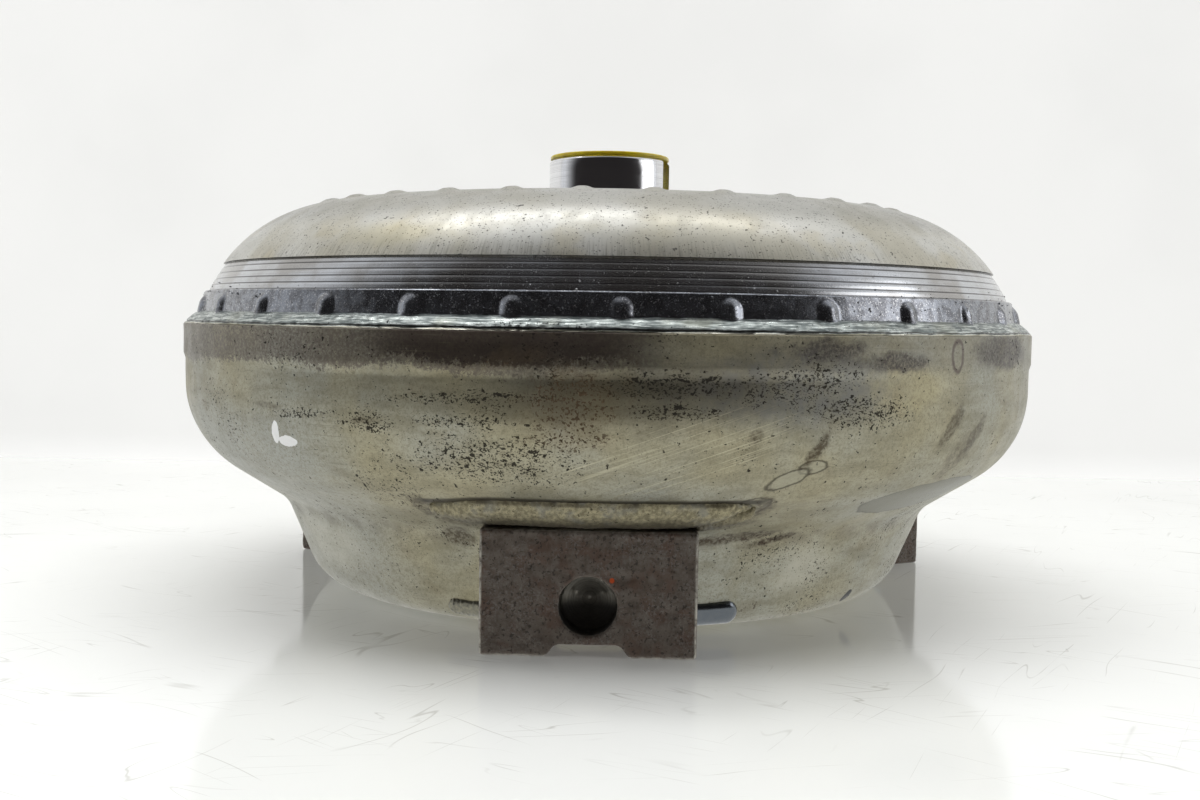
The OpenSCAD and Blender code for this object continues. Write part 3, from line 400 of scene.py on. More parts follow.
def make_shell():
    """The impeller shell: satin dome, turned steps, and a rough band with a bump at each blade."""
    foot = BAND_Z + BAND_H
    turned_top = foot + TURNED_H
    start = math.degrees(math.acos((HUB_FLANGE_R - TUBE_R) / DOME_R))
    end = math.degrees(math.asin((turned_top - MID_Z) / DOME_R))
    dome = arc((TUBE_R, MID_Z), DOME_R, start, end, 78)
    band_top = SKIRT_R - BAND_TAPER
    outside = np.vstack([
        dome,
        spaced(turned_outline(), 1.0),
        spaced([[band_top - 0.35, foot], [band_top, foot - 0.35], [SKIRT_R, BAND_Z]], 0.45),
    ])
    inside = np.vstack([
        [[SKIRT_R, SKIRT_Z]],
        arc((TUBE_R, MID_Z), PASSAGE_R, math.degrees(math.asin((SKIRT_Z - MID_Z) / PASSAGE_R)),
            math.degrees(math.acos((HUB_FLANGE_R - TUBE_R) / PASSAGE_R)), 24),
    ])
    outline = np.vstack([outside, inside])
    angles = bump_angles()
    place = turned_points(outline, angles)
    height = place[..., 2]
    on_outside = (np.arange(len(outline)) < len(outside))[:, None]
    in_band = on_outside * (height < foot - 0.1)

    across = np.radians(nearest_bump(angles, BUMP_ANGLE))[None, :] * SKIRT_R
    above = height - BAND_Z - BUMP_FOOT_H
    reach = np.hypot(across / BUMP_HALF_W, np.maximum(above, 0) / BUMP_ROUND_H)
    bump = BUMP_OUT * np.clip(1 - (reach / 1.08) ** 2, 0, 1) ** 1.35
    lift = bump * in_band * smooth(foot - height, 0.2, 0.9)
    lift += in_band * (0.05 * rough(place, 4.1, 11, 2) + 0.015 * noise(place, 0.9, 4))

    crown = np.arctan2(height - MID_Z, np.hypot(place[..., 0], place[..., 1]) - TUBE_R)
    crown_at = math.acos((CROWN_BUMP_R - TUBE_R) / DOME_R)
    side = np.radians(nearest_bump(angles, BUMP_ANGLE + 180 / BUMP_N))[None, :] * CROWN_BUMP_R
    reach = np.hypot(side, (crown - crown_at) * DOME_R) / CROWN_BUMP_HALF_W
    on_dome = on_outside * (height > turned_top + 0.05)
    lift += on_dome * CROWN_BUMP_OUT * (1 - smooth(reach, 0.25, 1.0))
    lift += on_dome * 0.03 * rough(place, 17, 21, 2)
    made = turned("impeller_shell_dome", outline, angles, lift, closed=True, sharp=28)
    return join("impeller_shell_formed", [made, make_grit()])


def make_grit():
    """Weld spatter and baked dirt that clings to the band and the lowest turned steps."""
    draw = np.random.default_rng(41)
    shell = bmesh.new()
    for _ in range(620):
        angle = math.radians(draw.uniform(0, 360))
        if draw.random() < 0.6:
            height = draw.uniform(BAND_Z + 0.2, BAND_Z + BAND_H - 0.3)
            radius = SKIRT_R - BAND_TAPER * (height - BAND_Z) / BAND_H
        else:
            height = BAND_Z + BAND_H + 3 * draw.random() ** 2
            radius = dome_at(height) - TURNED_FOOT - 0.1
        size = 0.1 + 0.32 * draw.random() ** 4
        place = Vector((radius * math.sin(angle), -radius * math.cos(angle), height)) / 1000
        grow = Matrix.Translation(place) @ Matrix.Diagonal((
            size / 1000, size / 1000 * draw.uniform(0.6, 1.4), size / 1000 * draw.uniform(0.6, 1.2), 1))
        bmesh.ops.create_icosphere(shell, subdivisions=1, radius=1, matrix=grow)
    made = link_shell("grit", shell)
    made.data.shade_smooth()
    return made


def make_rim_weld():
    """The weld round the rim: a rippled crown, and an uneven groove where it meets the cover's lip."""
    top = [SKIRT_R + 0.1, BAND_Z]
    outline = np.vstack([
        spaced([[SKIRT_R - 0.3, BAND_Z + 0.1], top, [146.2, 95.1], [148.2, 93.5], [149.3, 92.3],
                [149.75, RIM_EDGE_Z + 0.05]], 0.35),
        [[149.2, RIM_EDGE_Z - 0.3], [SKIRT_R - 0.3, RIM_EDGE_Z - 0.3]],
    ])
    angles = even_angles(1440)
    place = turned_points(outline, angles)
    down = np.clip((BAND_Z - place[..., 2]) / (BAND_Z - RIM_EDGE_Z), 0, 1)
    shown = place[..., 2] > RIM_EDGE_Z
    along = np.broadcast_to(angles, down.shape)
    ripple = 0.07 * np.sin(np.radians(along * 300 + 90 * down**2) + 2.2 * noise(place, 7, 3))
    lift = ripple * np.sin(np.pi * down) + 0.12 * rough(place, 2.6, 31, 3)
    wander = noise(place * [1, 1, 0], 21, 8) + 0.5 * noise(place * [1, 1, 0], 6, 2)
    groove = np.exp(-((down - 0.86 - 0.05 * wander) / 0.055) ** 2)
    lift = lift - groove * (0.5 + 0.35 * wander)
    pits = smooth(noise(place, 1.3, 17), 0.5, 0.8) * smooth(down, 0.5, 0.8)
    lift = (lift - 0.35 * pits) * shown
    lift = np.minimum(lift, 0.25 * (1 - down))
    return turned("rim_weld_bead", outline, angles, lift, closed=True, sharp=50)


# Hub, plug and the weld round the hub's flange

def flange_z(shell_r):
    """Where a wall of the shell, with that radius of its tube, meets the edge of the hub's flange."""
    return MID_Z + math.sqrt(shell_r**2 - (TUBE_R - HUB_FLANGE_R) ** 2)


def make_hub():
    flange_top = flange_z(DOME_R)
    flange_low = flange_z(PASSAGE_R)
    # The root's centre is at a whole millimetre, which leaves a shallow groove at its foot
    root = (HUB_R + HUB_ROOT_R, math.floor(flange_top + HUB_ROOT_R))
    boss_z = mm(hub_low.z)
    chamfer = 0.8
    outside = np.vstack([
        [[HUB_BORE_R, HUB_END_Z - 0.4], [HUB_BORE_R + 0.4, HUB_END_Z], [HUB_R - chamfer, HUB_END_Z]],
        [[HUB_R - 0.15, HUB_END_Z - chamfer + 0.1], [HUB_R, HUB_END_Z - chamfer - 0.2]],
        spaced([[HUB_R, HUB_END_Z - chamfer - 0.2], [HUB_R, root[1]]], 4)[1:],
        arc(root, HUB_ROOT_R, 180, 270, 14)[1:],
        spaced([[root[0], flange_top], [HUB_FLANGE_R, flange_top]], 4)[1:],
        [[HUB_FLANGE_R, flange_low], [HUB_FOOT_R, flange_low], [HUB_FOOT_R, boss_z], [HUB_BORE_R, boss_z]],
    ])
    made = turned("impeller_hub_ground", outside, even_angles(256), sharp=30)
    for side in (0, 180):
        slot = bmesh.new()
        size = Matrix.Diagonal((SLOT_W / 1000, 2 * HUB_R / 1000, 2 * SLOT_D / 1000, 1))
        shift = Matrix.Translation((0, -HUB_R * 1.5 / 1000, HUB_END_Z / 1000))
        bmesh.ops.create_cube(slot, size=1, matrix=shift @ size)
        low_edges = [e for e in slot.edges if abs(e.verts[0].co.z - e.verts[1].co.z) < 1e-6
                     and abs(e.verts[0].co.x - e.verts[1].co.x) < 1e-6
                     and e.verts[0].co.z < HUB_END_Z / 1000]
        bmesh.ops.bevel(slot, geom=low_edges, offset=0.0012, segments=4, affect="EDGES")
        tool = link_shell("slot", slot)
        tool.rotation_euler.z = math.radians(SLOT_ANGLE + side)
        cut(made, tool)
    return made


def make_hub_weld():
    """A flat ring of weld where the hub's flange meets the shell."""
    flange_top = flange_z(DOME_R)
    crown = arc((HUB_FLANGE_R - 2, flange_top - 1.4), 2.4, 20, 160, 14)
    outline = np.vstack([crown, [[HUB_FLANGE_R - 4, flange_top - 0.6], [HUB_FLANGE_R, flange_top - 0.6]]])
    angles = even_angles(720)
    place = turned_points(outline, angles)
    shown = place[..., 2] > flange_top - 0.5
    along = np.broadcast_to(angles, shown.shape)
    lift = shown * (0.08 * np.sin(np.radians(along * 150)) + 0.08 * rough(place, 2.2, 51, 2) - 0.12)
    return turned("hub_weld_bead", outline, angles, lift, closed=True, sharp=60)


def make_plug():
    """The thin plastic plug: a rim that lies on the hub's end and a barrel in its bore."""
    play = 0.2
    wall = 1.4
    rim_r = HUB_R - 0.3
    barrel = HUB_BORE_R - play
    top = PLUG_TOP_Z
    seat = HUB_END_Z
    outline = np.vstack([
        [[0, top - 0.8], [barrel - 3 * wall, top - 0.8], [barrel - 2.4 * wall, top - 0.5],
         [barrel - 2 * wall, top - 0.05], [barrel - 1.7 * wall, top]],
        [[rim_r - 0.6, top]],
        arc((rim_r - 0.6, top - 0.6), 0.6, 80, 0, 5),
        arc((rim_r - 0.5, seat + 0.5), 0.5, 0, -90, 5),
        [[barrel + 0.4, seat], [barrel, seat - 0.4]],
        spaced([[barrel, seat - 0.4], [barrel, PLUG_END_Z + 0.6]], 2)[1:],
        [[barrel - 0.5, PLUG_END_Z], [barrel - wall + 0.2, PLUG_END_Z], [barrel - wall, PLUG_END_Z + 0.3],
         [barrel - wall, seat], [0, seat]],
    ])
    return turned("hub_plug_moulded", outline, even_angles(192), closed=False, sharp=35)


def make_pilot():
    chamfer = 1.2
    outline = [[0, PILOT_END_Z + 5], [2.2, PILOT_END_Z + 3.4], [3.4, PILOT_END_Z + 0.8],
               [4.2, PILOT_END_Z], [PILOT_R - chamfer, PILOT_END_Z],
               [PILOT_R - 0.3, PILOT_END_Z + chamfer - 0.3], [PILOT_R, PILOT_END_Z + chamfer + 0.2],
               [PILOT_R, DISH_TOP_Z - 0.9], [PILOT_R - 0.5, DISH_TOP_Z], [0, DISH_TOP_Z]]
    return turned("pilot_boss_turned", outline[::-1], even_angles(160), closed=False, sharp=28)


# Drive lugs

def prism(name, outline, near, far):
    """A solid with that outline in X and Z, between two places on Y."""
    count = len(outline)
    points = [(x, y, z) for y in (near, far) for x, z in outline]
    sides = [(k, (k + 1) % count, count + (k + 1) % count, count + k) for k in range(count)]
    faces = sides + [tuple(range(count)), tuple(range(2 * count - 1, count - 1, -1))]
    return make_object(name, points, faces)


def lug_blank():
    """A lug with worn edges, drilled, notched below and cut to the cover, before its scale is added."""
    notch = [(-12.3, 0), (-11.4, 0.5), (-10.4, 1.7), (-9.5, 2.9), (-8.2, 3.4),
             (8.2, 3.4), (9.5, 2.9), (10.4, 1.7), (11.4, 0.5), (12.3, 0)]
    half = LUG_W / 2
    made = prism("lug", [(-half, 0), *notch, (half, 0), (half, LUG_H), (-half, LUG_H)],
                 -LUG_FACE_R, -NECK_R + 8)
    bevel = made.modifiers.new("worn", "BEVEL")
    bevel.width = 0.0009
    bevel.segments = 3
    bevel.limit_method = "ANGLE"
    bevel.angle_limit = math.radians(50)
    settle(made)
    point = LUG_HOLE_R * math.tan(math.radians(31))
    drill = [(0, -2), (LUG_HOLE_R + 1.2, -2), (LUG_HOLE_R + 0.25, 0), (LUG_HOLE_R, 0.4),
             (LUG_HOLE_R, LUG_HOLE_D), (0.4, LUG_HOLE_D + point - 0.2), (0, LUG_HOLE_D + point)]
    hole = turned("hole", drill, even_angles(96), closed=False)
    hole.matrix_world = (Matrix.Translation((0, -LUG_FACE_R / 1000, LUG_HOLE_Z / 1000))
                         @ Matrix.Rotation(math.radians(-90), 4, "X"))
    cut(made, hole)
    for side in (-1, 1):
        tap = [(0, -2), (BOLT_R + 1.6, -2), (BOLT_R + 0.8, 0), (BOLT_R, 0.8),
               (BOLT_R, BOLT_D), (0, BOLT_D + 1.8)]
        hole = turned("hole", tap, even_angles(48), closed=False)
        hole.location = (side * BOLT_HALF / 1000, -BOLT_ROW_R / 1000, 0)
        cut(made, hole)
    inner = np.vstack([[[0, RIM_EDGE_Z]], cover_outline(0.5), [[0, END_Z + 0.5]]])
    cut(made, turned("cover_inside", inner, even_angles(360), closed=False))
    remesh = made.modifiers.new("even", "REMESH")
    remesh.mode = "VOXEL"
    remesh.voxel_size = 0.00055
    return settle(made)


def make_lugs():
    """The three lugs, one blank with its own scale, dents and nicks on each."""
    blank = lug_blank()
    points, normals = read_points(blank), read_normals(blank)
    on_face = smooth(-normals[:, 1], 0.6, 0.95)
    lugs = {}
    for seed, (name, angle) in enumerate({"front": 0, "right": 120, "left": 240}.items()):
        made = link(f"drive_lug_{name}_forged", blank.data.copy())
        shift = points + 97.0 * seed
        scale = 0.055 * rough(shift, 2.4, 61, 3) + 0.035 * noise(shift, 0.9, 5)
        pits = 0.16 * smooth(noise(shift, 2.1, 71), 0.45, 0.85)
        scale -= pits * (0.4 + 0.6 * on_face)
        edge = smooth(np.minimum(LUG_W / 2 - np.abs(points[:, 0]), LUG_FACE_R + points[:, 1]), 1.4, 0.2)
        scale -= 0.22 * edge * smooth(noise(shift, 3.3, 81), 0.0, 0.9)
        feet = smooth(points[:, 2], 1.2, 0.2) * smooth(noise(shift, 2.6, 91), -0.2, 0.8)
        scale -= 0.2 * feet * on_face
        inside_box = np.minimum(scale, 0.0)
        write_points(made, points + normals * inside_box[:, None])
        made.rotation_euler.z = math.radians(angle)
        lugs[name] = made
    bpy.data.objects.remove(blank)
    return lugs


# Weld beads at the lugs

def bead(name, middle, facing_at, spread, centre, half, height, seed, coarse=1.0):
    """A weld bead that runs round the cover.

    middle gives the surface's radius and height at a distance up its section, and facing_at the
    outward direction there. spread holds the angles, centre and half the middle line and half width
    of the bead at each of them, and height how far it stands out. A coarse of 0 gives smooth metal.
    """
    across = np.concatenate([np.linspace(-1, 1, 25), np.linspace(1, -1, 8)[1:-1]])
    top = np.arange(len(across)) < 25
    rows = []
    for angle, mid, wide, tall in zip(spread, centre, half, height):
        up = mid + wide * across
        lift = np.where(top, tall * (1 - across**2) ** 0.62 - 0.12, -0.9 * np.sqrt(1 - across**2) - 0.12)
        base, facing = middle(up), facing_at(up)
        place = base + facing * lift[:, None]
        turn = math.radians(angle)
        rows.append(np.column_stack([
            place[:, 0] * math.sin(turn), -place[:, 0] * math.cos(turn), place[:, 1]]))
    points = np.array(rows)
    count = len(across)
    faces = grid_faces(len(rows), count, False)
    faces += [tuple(range(count)), tuple(range(len(rows) * count - 1, (len(rows) - 1) * count - 1, -1))]
    made = make_object(name, points.reshape(-1, 3), faces, sharp=70)
    place, normals = read_points(made), read_normals(made)
    shift = place + 53.0 * seed
    grain = 0.13 * rough(shift, 1.9, 101, 3) + 0.07 * noise(shift, 0.6, 7)
    turn = np.degrees(np.arctan2(place[:, 0], -place[:, 1]))
    grain += 0.06 * np.sin(np.radians(turn * 480) + 3 * noise(shift, 5, 9))
    write_points(made, place + normals * (coarse * grain)[:, None])
    return made


def wobble_along(angles, y, z, size, seed):
    """Noise at each angle along a bead."""
    return noise(np.column_stack(np.broadcast_arrays(angles, y, z)), size, seed)


def rounded(past, power):
    """How much of a bead is left at its end, from 1 down to almost nothing."""
    return np.sqrt(np.clip(1 - past**power, 0.0009, 1))


def make_upper_beads():
    """One long bead above each lug, on the cover's cone."""
    base = CONE_TOP - CONE_UP * ((CONE_TOP[1] - UPPER_BEAD_Z) / CONE_UP[1])
    along = np.sin(np.radians(np.linspace(-90, 90, 220)))
    parts = []

    def add(angles, centre, wide, tall, seed, number):
        made = bead(f"bead_{number}_{seed}", lambda up: base + CONE_UP * up[:, None],
                    lambda up: np.broadcast_to(CONE_OUT, (len(up), 2)),
                    angles, centre, wide, np.maximum(tall, 0.2), seed)
        made.rotation_euler.z = math.radians(120 * (seed % 3))
        parts.append(made)

    for seed in range(3):
        angles = UPPER_BEAD_SHIFT + UPPER_BEAD_HALF * along
        wobble = wobble_along(angles, seed * 9.0, 0.0, 3.0, 4)
        top = 8.1 - 4.4 * smooth(-angles, 11, 20.2) - 0.6 * smooth(angles, 16, 19.8) + 0.25 * wobble
        low = -5.7 + 3.6 * smooth(-angles, 13, 20.2) + 9.4 * smooth(angles, 11.5, 19.8)
        low = np.minimum(low - 0.3 * wobble, top - 0.8)
        past = np.clip((np.abs(angles - UPPER_BEAD_SHIFT) - 18.8) / 1.3, 0, 1)
        end = rounded(past, 2)
        wide = (top - low) / 2
        tall = 3.1 * smooth(wide, -0.5, 5.0) * end + 0.15 * wobble * end
        add(angles, (top + low) / 2, wide * end, tall, seed, 1)
        angles = 17.0 + 3.5 * along
        wobble = wobble_along(angles, seed * 7.0, 3.0, 2.0, 6)
        end = rounded(np.abs(along), 5)
        add(angles, -0.6 + 4.6 * along, (2.9 + 0.2 * wobble) * end, 3.0 * end, seed + 3, 2)
    bpy.context.view_layer.update()
    return join("lug_welds_upper_beads", parts)


def make_lower_beads():
    """Two short beads beside each lug, on the rounded edge of the end face."""

    def facing(up):
        turn = up / END_FILLET_R - math.pi / 4
        return np.column_stack([np.cos(turn), np.sin(turn)])

    def surface(up):
        return END_C + END_FILLET_R * facing(up)

    parts = []
    for lug in range(3):
        for side in (-1, 1):
            size = 1.0 if side > 0 else 0.72
            reach = np.sin(np.radians(np.linspace(0, 90, 70)))
            angles = side * (15.3 + 9.2 * reach)
            end = rounded(np.clip((reach - 0.8) / 0.2, 0, 1), 2)
            seed = 10 + 2 * lug + side
            wobble = wobble_along(angles, seed * 5.0, 0.0, 2.0, 3)
            made = bead(f"bead_{lug}_{side}", surface, facing, angles, 1.7 + 0.3 * wobble,
                        4.6 * size * end, (2.5 * size + 0.1 * wobble) * end + 0.05, seed,
                        coarse=0.15 if side > 0 else 1.0)
            made.rotation_euler.z = math.radians(120 * lug)
            parts.append(made)
    bpy.context.view_layer.update()
    return join("lug_welds_lower_beads", parts)


# Materials

def tone(red, green, blue):
    """A colour written as 0 to 255 on the screen, for a shader's socket."""
    linear = [v / 12.92 if v <= 0.04045 else ((v + 0.055) / 1.055) ** 2.4
              for v in (red / 255, green / 255, blue / 255)]
    return (*linear, 1.0)


class Value:
    """A number that a node gives. It takes part in sums like a plain number."""

    def __init__(self, finish, socket):
        self.maths = finish.maths
        self.socket = socket

    def __add__(self, other):
        return self.maths("ADD", self, other)

    def __radd__(self, other):
        return self.maths("ADD", other, self)

    def __sub__(self, other):
        return self.maths("SUBTRACT", self, other)

    def __rsub__(self, other):
        return self.maths("SUBTRACT", other, self)

    def __mul__(self, other):
        return self.maths("MULTIPLY", self, other)

    def __truediv__(self, other):
        return self.maths("DIVIDE", self, other)

    def __rtruediv__(self, other):
        return self.maths("DIVIDE", other, self)

    def __abs__(self):
        return self.maths("ABSOLUTE", self)


class Finish:
    """A material built from nodes. Places are in millimetres in the piece's own frame."""

    def __init__(self, name, **settings):
        self.material = bpy.data.materials.new(name)
        self.material.use_nodes = True
        self.nodes = self.material.node_tree.nodes
        self.links = self.material.node_tree.links
        self.nodes.clear()
        self.shader = self.nodes.new("ShaderNodeBsdfPrincipled")
        self.end = self.nodes.new("ShaderNodeOutputMaterial").inputs[0]
        self.links.new(self.shader.outputs[0], self.end)
        for socket, value in settings.items():
            self.shader.inputs[socket.replace("_", " ")].default_value = value
        raw = self.nodes.new("ShaderNodeTexCoord").outputs["Object"]
        self.place = self.vector("SCALE", raw, factor=1000)
        parts = self.nodes.new("ShaderNodeSeparateXYZ")
        self.links.new(self.place, parts.inputs[0])
        self.x, self.y, self.z = (Value(self, socket) for socket in parts.outputs)
        self.radius = self.length(self.x, self.y)
        self.angle = self.maths("ARCTAN2", self.x, self.y * -1) * (180 / math.pi)
        self.color = None
        self.normal = None

    def feed(self, socket, value):
        """Links a node's output to the socket, or sets it to a number or colour."""
        if isinstance(value, Value):
            value = value.socket
        if isinstance(value, bpy.types.NodeSocket):
            self.links.new(value, socket)
        else:
            socket.default_value = value

    def maths(self, kind, a, b=0.0):
        node = self.nodes.new("ShaderNodeMath")
        node.operation = kind
        self.feed(node.inputs[0], a)
        self.feed(node.inputs[1], b)
        return Value(self, node.outputs[0])

    def length(self, a, b):
        return self.maths("SQRT", a * a + b * b)

    def most(self, value, *others):
        """The largest of the values."""
        for other in others:
            value = self.maths("MAXIMUM", value, other)
        return value

    def vector(self, kind, a, b=(0, 0, 0), factor=1.0):
        node = self.nodes.new("ShaderNodeVectorMath")
        node.operation = kind
        self.feed(node.inputs[0], a)
        if kind == "SCALE":
            node.inputs["Scale"].default_value = factor
        else:
            self.feed(node.inputs[1], b)
        return node.outputs[0]

    def combine(self, x, y, z):
        node = self.nodes.new("ShaderNodeCombineXYZ")
        for socket, value in zip(node.inputs, (x, y, z)):
            self.feed(socket, value)
        return node.outputs[0]

    def distance(self, centre):
        """Distance from a point."""
        node = self.nodes.new("ShaderNodeVectorMath")
        node.operation = "DISTANCE"
        self.feed(node.inputs[0], self.place)
        self.feed(node.inputs[1], centre)
        return Value(self, node.outputs["Value"])

    def round_place(self, around, up):
        """Places scaled so that noise has those sizes round the axis and along it, with no seam."""
        size = RIM_R / around / self.radius
        return self.combine(self.x * size, self.y * size, self.z / up)

    def lathe_place(self, size):
        """Places that change only with radius and height, for rings left by a lathe."""
        return self.combine(self.radius / size, 0.0, self.z / size)

    def noise(self, size, detail=3.0, gain=0.5, place=None, warp=0.0, seed=0.0):
        node = self.nodes.new("ShaderNodeTexNoise")
        spot = self.place if place is None else place
        if seed:
            spot = self.vector("ADD", spot, (seed * 13.7, seed * 5.3, seed * 9.1))
        self.feed(node.inputs["Vector"], spot)
        node.inputs["Scale"].default_value = 1 / size
        node.inputs["Detail"].default_value = detail
        node.inputs["Roughness"].default_value = gain
        node.inputs["Distortion"].default_value = warp
        return Value(self, node.outputs["Fac"])

    def ramp(self, value, low, high):
        """From 0 at low to 1 at high, smoothly. Low may be above high."""
        node = self.nodes.new("ShaderNodeMapRange")
        node.interpolation_type = "SMOOTHSTEP"
        self.feed(node.inputs["Value"], value)
        node.inputs["From Min"].default_value = min(low, high)
        node.inputs["From Max"].default_value = max(low, high)
        if low > high:
            node.inputs["To Min"].default_value, node.inputs["To Max"].default_value = 1, 0
        return Value(self, node.outputs[0])

    def mix(self, share, a, b):
        node = self.nodes.new("ShaderNodeMix")
        node.data_type = "RGBA"
        node.clamp_factor = True
        self.feed(node.inputs[0], share)
        self.feed(node.inputs[6], a)
        self.feed(node.inputs[7], b)
        return node.outputs[2]

    def blend(self, share, a, b):
        node = self.nodes.new("ShaderNodeMix")
        node.clamp_factor = True
        self.feed(node.inputs[0], share)
        self.feed(node.inputs[2], a)
        self.feed(node.inputs[3], b)
        return Value(self, node.outputs[0])

    def coat(self, share, *rgb):
        """Lays a tone over the colour so far, by that share."""
        self.color = self.mix(share, self.color, tone(*rgb))

    def specks(self, size, share, place=None, seed=0.0):
        """Irregular specks of about that size. A larger share gives more of them."""
        grain = self.noise(size, 2.0, 0.6, place, seed=seed)
        return self.ramp(grain - (0.74 - share * 0.2), 0.0, 0.03)

    def patch(self, angle, height, wide, tall, wobble=0.4, size=5.0, lean=0.0):
        """Distance from a patch on the cover: below 1 inside, above 1 outside, with an uneven edge."""
        per_degree = RIM_R * math.pi / 180
        across = (self.angle - angle) * per_degree
        up = self.z - height
        cos, sin = math.cos(math.radians(lean)), math.sin(math.radians(lean))
        away = self.length(across * (cos / wide) + up * (sin / wide),
                           up * (cos / tall) - across * (sin / tall))
        return away + (self.noise(size, 3.0, 0.6) - 0.5) * (2 * wobble)

    def inside(self, away, edge):
        return self.ramp(away, 1 + edge, 1 - edge)

    def spot(self, angle, height, wide, tall, edge, **uneven):
        return self.inside(self.patch(angle, height, wide, tall, **uneven), edge)

    def outline(self, away, width):
        return self.ramp(abs(away - 1.0), width, 0.0)

    def relief(self, height, depth, strength=1.0):
        """Adds a bump of that depth in millimetres."""
        node = self.nodes.new("ShaderNodeBump")
        node.inputs["Strength"].default_value = strength
        node.inputs["Distance"].default_value = depth / 1000
        self.feed(node.inputs["Height"], height)
        if self.normal is not None:
            self.links.new(self.normal, node.inputs["Normal"])
        self.normal = node.outputs[0]

    def lay_over(self, share, shader):
        """Shows another shader, by that share, over what is shown so far."""
        both = self.nodes.new("ShaderNodeMixShader")
        self.feed(both.inputs[0], share)
        self.links.new(self.end.links[0].from_socket, both.inputs[1])
        self.links.new(shader.outputs[0], both.inputs[2])
        self.links.new(both.outputs[0], self.end)

    def done(self, roughness=None, metallic=None):
        for name, value in (("Base Color", self.color), ("Roughness", roughness), ("Metallic", metallic)):
            if value is not None:
                self.feed(self.shader.inputs[name], value)
        if self.normal is not None:
            self.links.new(self.normal, self.shader.inputs["Normal"])
        return self.material


